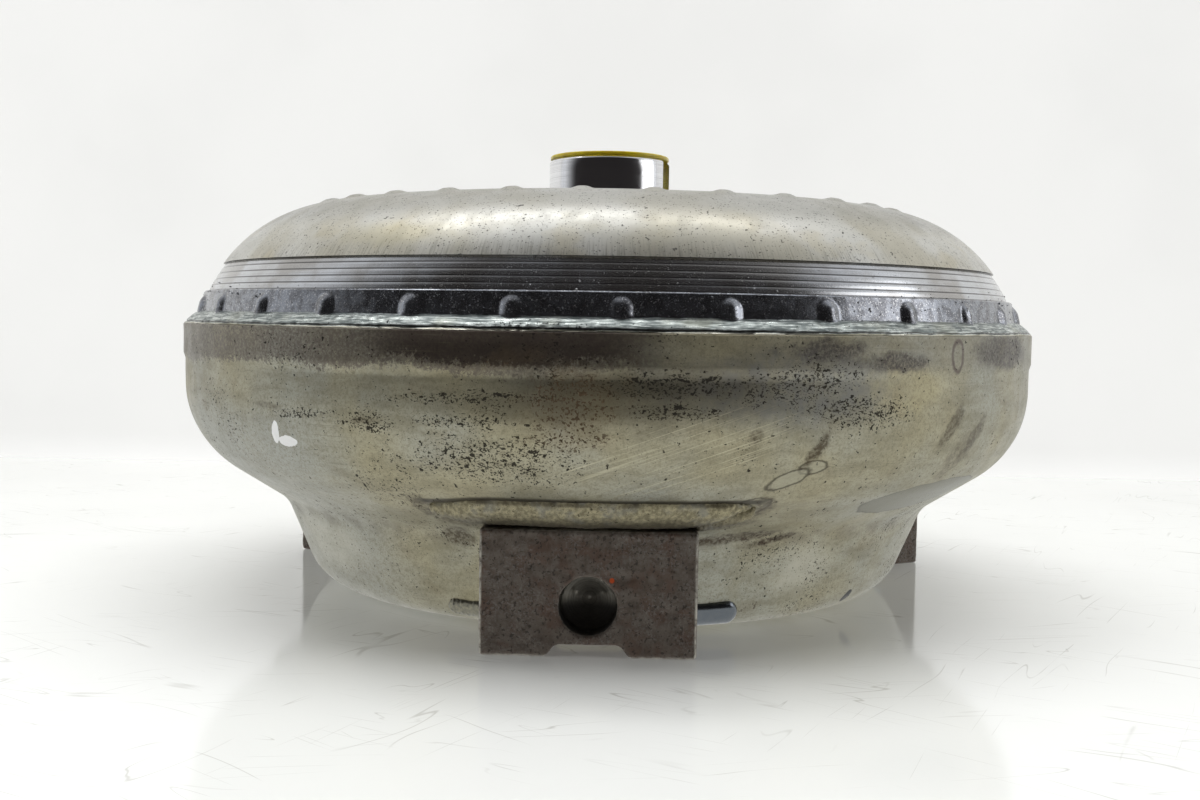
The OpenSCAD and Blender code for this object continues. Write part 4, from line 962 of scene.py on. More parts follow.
def cover_steel():
    """Pressed steel with an oil film, heat tint under the weld, rust specks, stains and scratches, with
    painted shade, highlights and shadow lines.
    """
    f = Finish("cover_steel")
    f.color = f.mix(f.ramp(f.noise(38, 3), 0.3, 0.7), tone(172, 165, 138), tone(166, 166, 155))
    f.coat(f.ramp(f.noise(13, 4, 0.6, seed=2), 0.45, 0.75) * 0.4, 146, 138, 110)
    film = f.noise(1, 4, 0.6, f.round_place(26, 5), seed=3)
    f.coat(f.ramp(film, 0.4, 0.72) * 0.5, 124, 119, 98)
    cool = f.ramp(f.angle, -24, -40) * f.ramp(f.z, 74, 60)
    f.coat(cool * 0.6, 166, 168, 164)
    warm = f.spot(36, 77, 16, 7, 0.4, wobble=0.4)
    f.coat(warm * 0.6, 184, 174, 138)
    mottle = f.noise(1.2, 5, 0.75)
    f.coat(f.ramp(mottle, 0.46, 0.66) * 0.5, 126, 120, 98)
    dust = f.noise(0.55, 3, 0.7, seed=21)
    f.coat(f.ramp(dust, 0.5, 0.66) * 0.4, 110, 104, 86)

    # Heat tint under the rim's weld: ragged at its lower edge, and burnt dark in front
    ragged = 0.5 - f.noise(1, 5, 0.8, f.round_place(1.5, 1.8))
    broad = 0.5 - f.noise(30, 2, seed=6)
    level = f.z + ragged * 13.0 + broad * 8.0
    tint = f.ramp(level, 80.8, 81.8) * f.blend(f.ramp(f.angle, 3, 9), 1.0, 0.3)
    right_tint = f.most(f.spot(25, 87.5, 12, 3.4, 0.4, wobble=0.8, size=6),
                        f.spot(34, 84.6, 13, 2.6, 0.4, wobble=0.7, size=6))
    right_tint = f.most(right_tint, f.spot(56, 87, 20, 5, 0.3, wobble=0.4, size=8))
    gritty = f.blend(f.ramp(f.noise(0.9, 4, 0.75, seed=8), 0.36, 0.6), 0.45, 0.95)
    f.coat(tint * gritty, 104, 97, 90)
    f.coat(right_tint * gritty, 84, 79, 76)
    burnt = f.ramp(level, 83.0, 84.8) * f.ramp(abs(f.angle + 9), 19, 9)
    f.coat(burnt * 0.85, 60, 50, 46)
    grey = f.spot(21, 77, 30, 9, 0.5, wobble=0.6, size=12)
    f.coat(grey * f.blend(f.ramp(f.noise(4, 4, 0.65), 0.4, 0.6), 0.4, 0.75), 134, 134, 132)
    # Painted shade: the front of the wall made darker below the heat tint
    shade = f.spot(2, 75, 36, 8, 0.6, wobble=0.5, size=14)
    f.coat(shade * 0.55, 88, 82, 68)
    # Painted shade: a darker strip across the front just under the heat tint
    front_shade_band = f.spot(6, 79, 34, 3.6, 0.6, wobble=0.4, size=12)
    f.coat(front_shade_band * 0.5, 70, 66, 58)
    # Painted highlights: pale patches on the neck, at both sides
    pale = f.most(f.spot(35, 21, 13, 7, 0.7, wobble=0.6, size=8),
                  f.spot(-50, 22, 26, 8, 0.5, wobble=0.4, size=9) * 0.6)
    f.coat(pale * 0.45, 214, 212, 200)

    # Dark specks, thick in some places and thin in others
    zones = f.spot(-10, 57.5, 24, 7, 0.6, wobble=0.7)
    for angle, height, wide, tall, lean in (
            (-24, 66.5, 9, 3.4, 0), (-13, 67.5, 17, 1.8, 0), (-12, 74, 26, 1.6, 2), (8, 78, 24, 3.4, 0),
            (9, 71, 14, 2.2, 0), (22, 79, 20, 5, 5), (-33, 67.5, 14, 1.4, 4), (30, 71, 18, 5, 0)):
        zones = f.most(zones, f.spot(angle, height, wide, tall, 0.5, wobble=0.7, lean=lean))
    zones = f.most(zones, f.ramp(f.noise(27, 3, seed=12), 0.52, 0.68) * 0.6)
    fine = f.specks(1.0, 0.2 + zones * 0.75, f.round_place(0.75, 0.5))
    large = f.specks(1.0, 0.3 + zones * 0.5, f.round_place(1.5, 1.1), 4)
    specks = f.most(fine * 0.8, large * 0.9)
    f.coat(specks, 44, 40, 36)

    # Rust in clusters in front, and a spot here and there
    rusty = f.most(f.spot(-1.5, 72.5, 13, 9, 0.5, wobble=0.8),
                   f.spot(-1, 63.5, 13, 3, 0.5, wobble=0.8))
    rusty = f.most(rusty, f.ramp(f.noise(19, 2, seed=17), 0.6, 0.72) * 0.6)
    rust = f.most(f.specks(0.85, 0.3 + rusty * 0.55, None, 9), f.specks(1.7, 0.2 + rusty * 0.5, None, 14))
    rust *= rusty
    f.coat(rusty * 0.22, 122, 102, 68)
    f.coat(rust * 0.9, 78, 58, 34)

    # Stains: a smooth oil patch, outlined drips, brown marks beside the lug, two of them painted shadow
    # under the beads, and a paint dab
    oil_edge = f.patch(49, 43.2, 31, 5.0, wobble=0.14, size=7, lean=3)
    oil = f.inside(oil_edge, 0.03)
    f.coat(oil * 0.9, 96, 94, 74)
    f.coat(f.outline(oil_edge, 0.05) * 0.7, 74, 70, 58)
    for angle, height, wide, tall, lean in (
            (24.9, 55.8, 4.4, 1.9, 6), (22.4, 52.4, 6.2, 2.3, 20), (19.6, 43.6, 6.0, 3.0, 8)):
        away = f.patch(angle, height, wide, tall, wobble=0.22, size=2.6, lean=lean)
        f.coat(f.inside(away, 0.08) * 0.5, 172, 169, 150)
        f.coat(f.outline(away, 0.2) * 0.85, 78, 72, 60)
    ring = f.outline(f.patch(44.3, 86, 2.6, 4.4, wobble=0.3, size=3), 0.34)
    f.coat(ring * 0.8, 92, 80, 78)
    streaks = f.blend(f.ramp(f.noise(1.4, 4, 0.7), 0.4, 0.6), 0.45, 1.0)
    # Dark marks: the two long thin ones at heights 36.4 and 37.4, just under the beads, are painted shadow;
    # the rest are stains
    for angle, height, wide, tall, lean, share in (
            (24.8, 60.6, 1.9, 5.4, -32, 0.9), (17.5, 64.8, 2.2, 1.9, 0, 0.7), (44.5, 66, 2.6, 7, -36, 0.75),
            (50, 62, 2.4, 8, -34, 0.6), (48, 57, 5, 8, -36, 0.45), (-38.8, 69, 5.5, 0.9, -4, 0.5),
            (-19.6, 31.2, 6.5, 3, 0, 0.9), (-24.6, 66.6, 5.5, 0.8, 3, 0.4), (-21.2, 41.4, 4.4, 3.6, 0, 0.75),
            (21.2, 43.4, 4.2, 3.4, 0, 0.75), (-17.5, 36.4, 9, 1.6, -4, 0.7), (18.6, 37.4, 9, 1.5, 6, 0.7)):
        mark = f.spot(angle, height, wide, tall, 0.35, wobble=0.55, size=3, lean=lean)
        f.coat(mark * streaks * share, 76, 66, 52)
    brown = f.most(f.spot(20, 32.2, 17, 1.7, 0.4, wobble=0.8, size=2.6, lean=4),
                   f.spot(27, 30.8, 11, 1.1, 0.5, wobble=0.9, size=2.6, lean=10))
    f.coat(brown * streaks * 0.95, 62, 50, 40)
    drop = f.ramp(f.patch(50.6, 7.2, 3.0, 2.4, wobble=0.15, size=2), 1.05, 0.9)
    f.coat(drop, 26, 24, 24)
    dab = f.most(f.spot(-38.2, 61.2, 1.6, 3.5, 0.06, wobble=0.2, size=2, lean=-20),
                 f.spot(-36.4, 58.9, 4.3, 1.6, 0.06, wobble=0.3, size=2, lean=2))

    # Fine scratches: slanting ones in front and level ones all round
    turn = 0.34
    slant = f.combine(f.angle * (2.6 * math.cos(turn)) + f.z * math.sin(turn), 0.0,
                      f.z * math.cos(turn) - f.angle * (2.6 * math.sin(turn)))
    lines = f.noise(1, 2, 0.6, f.vector("MULTIPLY", slant, (1 / 45, 1, 1 / 0.45)))
    area = f.spot(9, 59, 32, 10, 0.4, wobble=0.4, lean=14)
    scratches = f.ramp(lines, 0.54, 0.66) * area
    level_lines = f.ramp(f.noise(1, 2, 0.6, f.round_place(50, 0.4), seed=3), 0.6, 0.72)
    level_lines *= f.ramp(f.noise(18, 2, seed=23), 0.44, 0.6)
    f.coat(scratches * 0.55, 206, 200, 174)
    f.coat(level_lines * 0.35, 108, 103, 86)

    # Darker patches in a band at the neck's hollow, and a painted shadow line in the corner above the bead
    neck_band = f.ramp(abs(f.z - 31), 4.0, 0.5) * f.ramp(f.noise(9, 3, seed=31), 0.42, 0.6)
    f.coat(neck_band * 0.35, 92, 84, 70)
    # Painted shadow: a dark line along the upper bead's top edge, where it meets the cone
    toe_z = f.blend(f.ramp(f.angle, -11, -20.5), 45.4, 43.6)
    toe_shadow = f.ramp(abs(f.z - toe_z), 1.2, 0.3) * f.ramp(abs(f.angle), 22.4, 20)
    f.coat(toe_shadow * 0.85, 46, 40, 32)
    f.coat(dab, 250, 250, 250)

    roughness = f.blend(f.ramp(f.noise(6, 4, 0.6, seed=5), 0.35, 0.65), 0.35, 0.46)
    roughness = f.blend(f.most(specks, rust), roughness, 0.7)
    roughness = f.blend(oil, roughness, 0.3)
    f.relief(mottle + specks + rust * 2.0, 0.035, 0.7)
    f.relief(level_lines * -0.4 - scratches, 0.01, 0.8)
    metal = f.blend(f.most(dab, rust * 0.8), 0.86, 0.0)
    return f.done(roughness, metal)


def shell_steel():
    """The impeller shell's three zones: satin dome, turned steps and dark unmachined band, with painted
    shade on the dome's top and at each step's ledge.
    """
    f = Finish("shell_steel")
    foot = BAND_Z + BAND_H
    turned_top = foot + TURNED_H
    on_dome = f.ramp(f.z, turned_top - 0.05, turned_top + 0.05)
    in_band = f.ramp(f.z, foot + 0.02, foot - 0.06)
    satin = f.mix(f.ramp(f.noise(28, 3), 0.38, 0.64), tone(205, 204, 198), tone(188, 184, 170))
    gold = f.ramp(f.noise(17, 3, seed=4), 0.54, 0.68) * f.ramp(f.z, 128, 118)
    satin = f.mix(gold * 0.25, satin, tone(188, 174, 132))
    spot = f.spot(-26, 118.6, 20, 3.4, 0.5, wobble=0.5, size=9)
    satin = f.mix(spot * 0.25, satin, tone(180, 168, 120))
    # Painted shade: the dome darker above 121 mm, for a dimmer reflection at its top
    satin = f.mix(f.ramp(f.z, 121, 128) * 0.6, satin, tone(150, 149, 144))
    steps = f.mix(f.ramp(f.noise(20, 3, seed=6), 0.4, 0.6), tone(204, 206, 210), tone(176, 174, 172))
    rings = f.noise(1, 2, 0.7, f.lathe_place(0.16))
    steps = f.mix(f.ramp(rings, 0.45, 0.7) * 0.3, steps, tone(140, 136, 132))
    # Painted shade: a dark line at the ledge between each pair of turned steps
    part = f.maths("FRACT", (f.z - foot) / (TURNED_H / TURNED_STEPS))
    ledge = f.most(f.ramp(part, 0.2, 0.06), f.ramp(part, 0.9, 0.96))
    steps = f.mix(ledge * 0.85, steps, tone(52, 50, 50))
    band = f.mix(f.ramp(f.noise(3.0, 3, 0.5), 0.4, 0.62), tone(146, 149, 156), tone(116, 117, 122))
    band = f.mix(f.specks(0.5, 0.7, None, 7) * 0.6, band, tone(214, 214, 214))
    f.color = f.mix(on_dome, steps, satin)
    f.color = f.mix(in_band, f.color, band)
    share = f.blend(in_band, f.blend(on_dome, 0.2, 0.5), 0.45)
    dots = f.most(f.specks(0.6, share), f.specks(1.5, share * 0.6, None, 3))
    f.coat(dots * 0.85, 46, 44, 42)
    brushed = f.noise(1, 2, 0.6, f.round_place(0.45, 9))
    low_dome = on_dome * f.ramp(f.z, 118.5, 113)
    f.coat(f.ramp(brushed, 0.45, 0.7) * f.blend(low_dome, 0.04, 0.5), 128, 123, 112)
    roughness = f.blend(on_dome, f.blend(f.ramp(rings, 0.3, 0.7), 0.14, 0.24),
                        f.blend(f.ramp(f.noise(7, 4, 0.6, seed=8), 0.35, 0.65), 0.3, 0.42))
    roughness = f.blend(in_band, roughness, 0.22)
    roughness = f.blend(dots, roughness, 0.7)
    f.relief(f.noise(0.7, 3, 0.6) + dots * 1.2, 0.03, 0.5)
    f.relief(rings * (1.0 - f.most(on_dome, in_band)), 0.012, 0.8)
    f.relief(brushed * on_dome, 0.008, 0.7)
    f.relief(f.noise(1.8, 3, 0.55, seed=5) * in_band, 0.06, 0.7)
    metal = f.blend(dots, 0.95, 0.3)
    return f.done(roughness, metal)


def weld_steel():
    """Pale greenish weld metal, finely streaked along the joint, with black grit and a dark groove."""
    f = Finish("weld_steel")
    streak = f.noise(1, 4, 0.65, f.round_place(6, 0.45))
    f.color = f.mix(f.ramp(streak, 0.4, 0.66), tone(112, 119, 118), tone(206, 212, 208))
    stain = f.ramp(f.noise(16, 3, seed=3), 0.5, 0.66)
    f.coat(stain * 0.35, 160, 160, 142)
    gritty = f.ramp(abs(f.angle + 5), 7, 4) * f.ramp(f.z, 94.6, 93.8)
    share = 0.32 + gritty * 0.5
    pits = f.most(f.specks(0.8, share), f.specks(1.8, share * 0.7, None, 6))
    f.coat(pits * 0.9, 32, 32, 34)
    above = f.z - (RIM_EDGE_Z + 0.75) + (f.noise(9, 3) - 0.5)
    groove = f.ramp(abs(above), 0.34, 0.1)
    f.coat(groove * 0.8, 48, 42, 38)
    lip = f.ramp(above, -0.3, -0.45)
    f.coat(lip * 0.7, 206, 200, 182)
    f.relief(f.noise(0.8, 4, 0.7), 0.08, 0.7)
    f.relief(streak, 0.08, 0.6)
    return f.done(f.blend(f.ramp(streak, 0.4, 0.7), 0.38, 0.24), 0.95)


def bead_steel():
    """Granular weld metal under a beige film, and a smooth dark end low down beside the lug."""
    f = Finish("bead_steel")
    grain = f.noise(1.2, 5, 0.65)
    f.color = f.mix(f.ramp(grain, 0.36, 0.68), tone(118, 111, 88), tone(170, 162, 132))
    # Painted shade: the lower half of the upper bead made darker
    f.coat(f.ramp(f.z, 41.5, 37.5) * f.ramp(f.z, 20, 30) * 0.75, 84, 80, 72)
    f.coat(f.ramp(f.noise(7, 3), 0.5, 0.68) * 0.5, 128, 130, 128)
    pits = f.most(f.specks(0.6, 0.45), f.specks(1.5, 0.35, None, 2))
    # Painted shadow: a dark line along the bead's top edge at 44.6 mm, laid on with the dark pits
    edge = f.ramp(abs(f.z - 44.6), 1.0, 0.2) * f.ramp(f.noise(6, 3), 0.35, 0.55)
    f.coat(f.most(pits * 0.7, edge * 0.6), 58, 50, 38)
    low = f.ramp(f.z, 16, 12)
    smooth_end = low * f.ramp(f.angle, -2, 2)
    f.coat(low * 0.5, 132, 134, 132)
    f.coat(smooth_end * 0.85, 100, 107, 117)
    f.relief(grain * (1.0 - smooth_end), 0.12, 0.7)
    roughness = f.blend(smooth_end, f.blend(pits, 0.42, 0.7), 0.22)
    return f.done(roughness, f.blend(low, 0.6, 0.95))


def lug_steel():
    """Dark mill scale, mottled brown and grey, with bright worn edges, a painted reflection of the floor
    along the bottom edge and painted shade in the lower half of the drilled hole.
    """
    f = Finish("lug_steel")
    info = Value(f, f.nodes.new("ShaderNodeObjectInfo").outputs["Random"])
    shift = f.vector("ADD", f.place, f.combine(info * 90.0, 0.0, 0.0))
    mottle = f.noise(3.2, 5, 0.65, shift)
    f.color = f.mix(f.ramp(mottle, 0.38, 0.62), tone(82, 72, 64), tone(112, 103, 95))
    brown = f.ramp(f.noise(6, 4, 0.6, shift, seed=3), 0.46, 0.66)
    f.coat(brown * 0.6, 88, 64, 52)
    dust = f.ramp(f.noise(0.8, 4, 0.7, shift, seed=4), 0.48, 0.62)
    f.coat(dust * f.ramp(f.noise(8, 3, seed=6), 0.36, 0.6) * 0.45, 138, 134, 130)
    pits = f.specks(1.0, 0.7, shift, 5)
    f.coat(pits * 0.7, 40, 33, 29)
    side = abs(f.x) - (LUG_W / 2 - 1.3)
    face = (1.3 - LUG_FACE_R) - f.y
    edge = f.ramp(side, 0.3, 0.8) * f.ramp(face, 0.3, 0.8)
    # Pale edges: worn on the upright edges, a painted reflection of the floor along the bottom edge, and a
    # lighter top edge
    floor_glint = f.ramp(f.z, 1.0, 0.3) * f.ramp(face, 0.0, 0.5)
    top = f.ramp(f.z, LUG_H - 0.8, LUG_H - 0.3) * f.ramp(face, 0.0, 0.5)
    wear_and_floor_glint = f.most(edge * 0.95, floor_glint * 0.6, top * 0.5)
    wear_and_floor_glint *= f.ramp(f.noise(2.6, 4, 0.7, shift, seed=8), 0.3, 0.62)
    f.coat(wear_and_floor_glint, 170, 167, 158)
    off_axis = f.distance(f.combine(0.0, f.y, LUG_HOLE_Z))
    drilled = f.ramp(off_axis, LUG_HOLE_R + 0.5, LUG_HOLE_R + 0.1) * f.ramp(face, 1.2, 0.7)
    rings = f.noise(1, 3, 0.7, f.combine(off_axis * 2.2, f.y * 2.2, 0.0))
    f.coat(drilled * f.blend(f.ramp(rings, 0.4, 0.65), 0.85, 0.5), 172, 168, 158)
    # Painted shade: the lower half of the drilled hole made nearly black
    hole_shade = drilled * f.ramp(f.z, LUG_HOLE_Z + 2.5, LUG_HOLE_Z - 2.5)
    f.coat(hole_shade * 0.9, 24, 22, 24)
    f.relief(rings * drilled, 0.05, 0.8)
    chip = f.ramp(f.distance((6.7, -LUG_FACE_R, 22.1)), 0.9, 0.55)
    f.coat(chip, 206, 86, 40)
    bare = f.most(wear_and_floor_glint, drilled - hole_shade)
    roughness = f.blend(bare, f.blend(f.ramp(mottle, 0.4, 0.6), 0.46, 0.62), 0.34)
    metal = f.blend(bare, 0.5, 0.9)
    f.relief(f.noise(0.8, 4, 0.7, shift), 0.1, 0.6)
    return f.done(roughness, metal)


def hub_steel():
    """Ground and polished steel with faint rings from the seal's running."""
    f = Finish("hub_steel")
    rings = f.noise(1, 3, 0.6, f.lathe_place(0.3))
    upright = f.noise(1, 2, 0.6, f.round_place(6, 80))
    f.color = f.mix(f.ramp(rings, 0.4, 0.7), tone(232, 232, 234), tone(214, 214, 216))
    f.coat(f.ramp(upright, 0.5, 0.7) * 0.25, 180, 180, 184)
    on_flange = f.ramp(f.z, 124, 117)
    f.coat(on_flange * f.ramp(f.noise(5, 4), 0.35, 0.6), 168, 162, 148)
    f.relief(rings, 0.004, 0.6)
    roughness = f.blend(on_flange, f.blend(f.ramp(rings, 0.4, 0.7), 0.13, 0.2), 0.36)
    return f.done(roughness, 1.0)


def plug_plastic():
    """Translucent yellow polythene."""
    f = Finish("plug_plastic", IOR=1.5, Transmission_Weight=0.35, Subsurface_Weight=0.25,
               Subsurface_Scale=0.002)
    f.shader.inputs["Subsurface Radius"].default_value = (1.0, 0.8, 0.1)
    cloud = f.noise(5, 3)
    f.color = f.mix(f.ramp(cloud, 0.35, 0.65), tone(232, 214, 12), tone(206, 184, 6))
    f.relief(f.noise(0.8, 3, 0.6), 0.02, 0.5)
    return f.done(f.blend(f.ramp(cloud, 0.4, 0.6), 0.3, 0.42), 0.0)


def turned_metal(name, light, dark, smoothness, metal=1.0, ring=0.35):
    """Metal with the rings of a lathe or a grinder."""
    f = Finish(name)
    rings = f.noise(1, 3, 0.65, f.lathe_place(ring))
    cloud = f.noise(9, 4, 0.6)
    f.color = f.mix(f.ramp(rings, 0.35, 0.68), light, dark)
    f.color = f.mix(f.ramp(cloud, 0.5, 0.7) * 0.35, f.color, dark)
    f.relief(rings, 0.01, 0.7)
    f.relief(f.noise(0.6, 3, 0.6), 0.006, 0.5)
    return f.done(f.blend(f.ramp(cloud, 0.35, 0.65), smoothness, smoothness + 0.14), metal)


def sheet_metal(name, light, dark, smoothness):
    """Rolled and pressed sheet steel with an oil film."""
    f = Finish(name)
    grain = f.noise(1, 3, 0.6, f.vector("MULTIPLY", f.place, (1 / 12, 1 / 0.6, 1 / 0.6)))
    cloud = f.noise(11, 4, 0.6)
    f.color = f.mix(f.ramp(cloud, 0.36, 0.64), light, dark)
    f.color = f.mix(f.ramp(grain, 0.5, 0.7) * 0.3, f.color, dark)
    f.coat(f.specks(1.2, 0.4) * 0.5, 84, 78, 66)
    f.relief(grain, 0.008, 0.7)
    return f.done(f.blend(f.ramp(cloud, 0.35, 0.65), smoothness, smoothness + 0.16), 1.0)


def cast_aluminium():
    f = Finish("stator_aluminium")
    skin = f.noise(0.9, 5, 0.7)
    f.color = f.mix(f.ramp(skin, 0.4, 0.62), tone(206, 208, 210), tone(172, 174, 176))
    f.coat(f.ramp(f.noise(8, 3), 0.5, 0.7) * 0.3, 150, 146, 136)
    f.relief(skin, 0.06, 0.7)
    return f.done(f.blend(f.ramp(skin, 0.4, 0.6), 0.4, 0.55), 0.95)


def seal_rubber():
    f = Finish("seal_rubber")
    grain = f.noise(0.5, 4, 0.6)
    f.color = f.mix(f.ramp(grain, 0.35, 0.7), tone(30, 30, 31), tone(48, 47, 46))
    f.relief(grain, 0.02, 0.6)
    return f.done(f.blend(grain, 0.45, 0.65), 0.0)


def friction_lining():
    """Paper-based lining with its fibres."""
    f = Finish("lining")
    fibres = f.noise(0.7, 5, 0.75, warp=1.5)
    f.color = f.mix(f.ramp(fibres, 0.36, 0.64), tone(96, 70, 48), tone(142, 108, 76))
    f.relief(fibres, 0.05, 0.8)
    return f.done(f.blend(fibres, 0.75, 0.95), 0.0)


def cage_plastic():
    f = Finish("cage_plastic")
    glass = f.noise(1, 3, 0.7, f.round_place(5, 0.4))
    f.color = f.mix(f.ramp(glass, 0.4, 0.65), tone(176, 158, 118), tone(148, 128, 90))
    f.relief(glass, 0.02, 0.6)
    return f.done(f.blend(glass, 0.35, 0.55), 0.0)


def blade_steel():
    """Thin pressed blades, tinted by brazing."""
    f = Finish("blade_steel")
    heat = f.noise(12, 3, 0.6)
    f.color = f.mix(f.ramp(heat, 0.36, 0.62), tone(198, 196, 190), tone(186, 166, 120))
    f.coat(f.ramp(f.noise(7, 4, seed=3), 0.56, 0.7) * 0.5, 120, 116, 130)
    f.relief(f.noise(0.8, 3, 0.6), 0.015, 0.6)
    return f.done(f.blend(f.ramp(heat, 0.35, 0.65), 0.28, 0.44), 1.0)


MATERIALS = {
    "cover_steel": cover_steel(),
    "shell_steel": shell_steel(),
    "weld_steel": weld_steel(),
    "bead_steel": bead_steel(),
    "lug_steel": lug_steel(),
    "hub_steel": hub_steel(),
    "machined_steel": turned_metal("machined_steel", tone(206, 206, 204), tone(160, 158, 154), 0.24),
    "sheet_steel": sheet_metal("sheet_steel", tone(194, 193, 188), tone(164, 162, 152), 0.3),
    "blade_steel": blade_steel(),
    "spring_steel": turned_metal("spring_steel", tone(96, 104, 124), tone(62, 64, 76), 0.28, ring=0.8),
    "bearing_steel": turned_metal("bearing_steel", tone(226, 226, 228), tone(196, 196, 200), 0.1, ring=0.2),
    "stator_aluminium": cast_aluminium(),
    "bronze": turned_metal("bronze", tone(214, 170, 96), tone(170, 126, 66), 0.24),
    "seal_rubber": seal_rubber(),
    "lining": friction_lining(),
    "cage_plastic": cage_plastic(),
    "plug_plastic": plug_plastic(),
}


# Pieces on their bodies

def place_piece(made, body, slot, *nodes):
    """Gives a piece its finish and its body, and lets it stand for those nodes."""
    made.data.materials.clear()
    made.data.materials.append(MATERIALS[slot])
    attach(made, body)
    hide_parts(*nodes)


lugs = make_lugs()
place_piece(make_cover(), "casing", "cover_steel", "front_cover")
place_piece(make_shell(), "casing", "shell_steel", "impeller_shell")
place_piece(make_rim_weld(), "casing", "weld_steel", "rim_weld")
place_piece(make_hub(), "casing", "hub_steel", "impeller_hub")
place_piece(make_hub_weld(), "casing", "weld_steel", "hub_weld")
place_piece(make_pilot(), "casing", "machined_steel", "pilot_boss")
place_piece(make_upper_beads(), "casing", "bead_steel", "lug_welds_upper")
place_piece(make_lower_beads(), "casing", "bead_steel", "lug_welds_lower")
place_piece(make_plug(), "plug", "plug_plastic", "hub_plug")
for side, lug in lugs.items():
    place_piece(lug, "casing", "lug_steel", f"drive_lug_{side}")

for part in frame["record"]["subparts"]:
    node = frame["nodes"][part["node"]]
    if not node.hide_render:
        if not node.material_slots:
            node.data.materials.append(None)
        for material_slot in node.material_slots:
            material_slot.material = MATERIALS[part["material_slot"]]


# Floor and backdrop

def stage_finish(name, shown, mirrored, light, roughness, scratched):
    """White for the camera and, by the mirrored share, in reflections. The lit rest keeps the shadow."""
    f = Finish(name, Roughness=roughness)
    f.color = f.mix(f.ramp(f.noise(160, 3), 0.4, 0.65) * 0.5, tone(*light), tone(*[v - 8 for v in light]))
    if scratched:
        for number, lean in enumerate((12, -38, 64, 155)):
            cos, sin = math.cos(math.radians(lean)), math.sin(math.radians(lean))
            along = f.x * (cos / 110) + f.y * (sin / 110)
            across = f.y * (cos / 11) - f.x * (sin / 11)
            hair = f.noise(1, 1, 0.4, f.combine(along, across, float(number)), warp=0.3)
            lines = f.ramp(abs(hair - 0.5), 0.006, 0.0)
            lines *= f.ramp(f.noise(30, 2, seed=4 + number), 0.52, 0.66)
            f.coat(lines * 0.4, 156, 152, 142)
    f.done()
    path = f.nodes.new("ShaderNodeLightPath")
    seen = f.most(path.outputs["Is Camera Ray"], path.outputs["Is Transmission Ray"])
    share = f.most(seen * shown, Value(f, path.outputs["Is Glossy Ray"]) * mirrored)
    glow = f.nodes.new("ShaderNodeEmission")
    f.feed(glow.inputs["Color"], f.color)
    f.lay_over(share, glow)
    return f


def make_stage():
    """A pale table, and a pale wall that is seen only from its front."""
    table_half, table_front, table_back, wall_top, cove = 1600, -700, 356, 1300, 16
    floor = make_object("stage_table", [
        (-table_half, table_front, 0), (table_half, table_front, 0),
        (table_half, 1.6 * table_half, 0), (-table_half, 1.6 * table_half, 0)], [(0, 1, 2, 3)])
    floor.data.materials.append(stage_finish("stage_table", 0.08, 0.9, (244, 245, 242), 0.1, True).material)
    corner = arc((table_back - cove, cove), cove, -90, 0, 9)
    line = [*corner.tolist(), [table_back, wall_top]]
    points = [(side * table_half, y, z + 0.2) for y, z in line for side in (-1, 1)]
    faces = [(2 * k, 2 * k + 1, 2 * k + 3, 2 * k + 2) for k in range(len(line) - 1)]
    wall = make_object("stage_wall", points, faces, sharp=80)
    f = stage_finish("stage_wall", 0.75, 0.75, (252, 252, 250), 0.7, False)
    behind = f.nodes.new("ShaderNodeNewGeometry").outputs["Backfacing"]
    f.lay_over(behind, f.nodes.new("ShaderNodeBsdfTransparent"))
    wall.data.materials.append(f.material)
    front = wall.data.polygons[len(line) - 2]
    if front.normal.y > 0:
        wall.data.flip_normals()


make_stage()


# Light

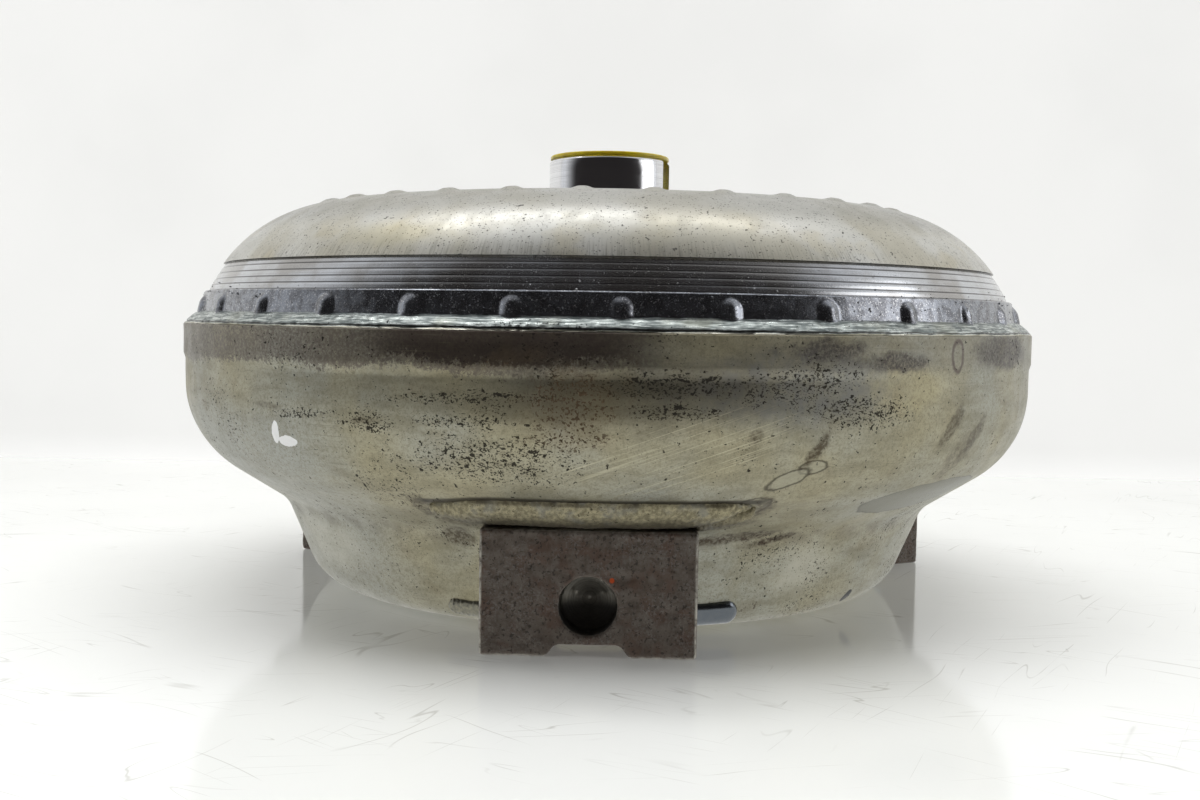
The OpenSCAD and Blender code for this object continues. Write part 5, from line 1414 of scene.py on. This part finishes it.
def make_world():
    """A pale room that is darker behind the camera, as a studio is."""
    world = bpy.data.worlds.new("room")
    bpy.context.scene.world = world
    world.use_nodes = True
    nodes, links = world.node_tree.nodes, world.node_tree.links
    nodes.clear()
    place = nodes.new("ShaderNodeTexCoord").outputs["Generated"]
    parts = nodes.new("ShaderNodeSeparateXYZ")
    links.new(place, parts.inputs[0])
    dark = nodes.new("ShaderNodeMapRange")
    dark.interpolation_type = "SMOOTHSTEP"
    links.new(parts.outputs["Y"], dark.inputs["Value"])
    dark.inputs["From Min"].default_value = -0.44
    dark.inputs["From Max"].default_value = 0.2
    color = nodes.new("ShaderNodeMix")
    color.data_type = "RGBA"
    links.new(dark.outputs[0], color.inputs[0])
    color.inputs[6].default_value = (0.022, 0.02, 0.02, 1)
    color.inputs[7].default_value = (0.86, 0.88, 0.9, 1)
    path = nodes.new("ShaderNodeLightPath")
    shown = nodes.new("ShaderNodeMix")
    shown.data_type = "RGBA"
    links.new(path.outputs["Is Camera Ray"], shown.inputs[0])
    links.new(color.outputs[2], shown.inputs[6])
    shown.inputs[7].default_value = (0.94, 0.94, 0.93, 1)
    back = nodes.new("ShaderNodeBackground")
    links.new(shown.outputs[2], back.inputs["Color"])
    end = nodes.new("ShaderNodeOutputWorld")
    links.new(back.outputs[0], end.inputs[0])


def add_softbox(name, place, target, wide, tall, power, mirrored=True):
    lamp = bpy.data.lights.new(name, "AREA")
    lamp.shape = "RECTANGLE"
    lamp.size, lamp.size_y = wide, tall
    lamp.energy = power
    made = link(name, lamp)
    made.visible_glossy = mirrored
    made.location = place
    made.rotation_mode = "QUATERNION"
    made.rotation_quaternion = (Vector(target) - Vector(place)).to_track_quat("-Z", "Y")


make_world()
add_softbox("softbox_table", (0, 0.05, 1.3), (0, 0, 0.08), 1.5, 1.0, 15, mirrored=False)
add_softbox("softbox_top", (-0.04, 0.3, 1.2), (0, 0, 0.1), 1.3, 0.26, 3.2)
add_softbox("softbox_left", (-1.1, -0.35, 0.5), (0, 0, 0.06), 0.7, 0.7, 3.0, mirrored=False)
add_softbox("softbox_right", (1.1, -0.2, 0.45), (0, 0, 0.06), 0.6, 0.6, 1.8)


# Camera, fitted to the photograph's view
CAMERA_PLACE = Vector((0.0167, -0.4929, 0.0957))
CAMERA_YAW = -2.2
CAMERA_PITCH = 3.57
CAMERA_ROLL = 0.88
CAMERA_LENS = 39.82

camera_data = bpy.data.cameras.new("camera")
camera_data.lens = CAMERA_LENS
camera_data.sensor_width = 36
camera_data.clip_start = 0.01
camera = link("camera", camera_data)
yaw, pitch, roll = (math.radians(v) for v in (CAMERA_YAW, CAMERA_PITCH, CAMERA_ROLL))
ahead = Vector((math.sin(yaw) * math.cos(pitch), math.cos(yaw) * math.cos(pitch), -math.sin(pitch)))
level = Vector((math.cos(yaw), -math.sin(yaw), 0))
above = level.cross(ahead)
right = math.cos(roll) * level + math.sin(roll) * above
top = math.cos(roll) * above - math.sin(roll) * level
camera.matrix_world = Matrix.Translation(CAMERA_PLACE) @ Matrix((right, top, -ahead)).transposed().to_4x4()
bpy.context.scene.camera = camera
bpy.context.scene.view_settings.view_transform = "Standard"
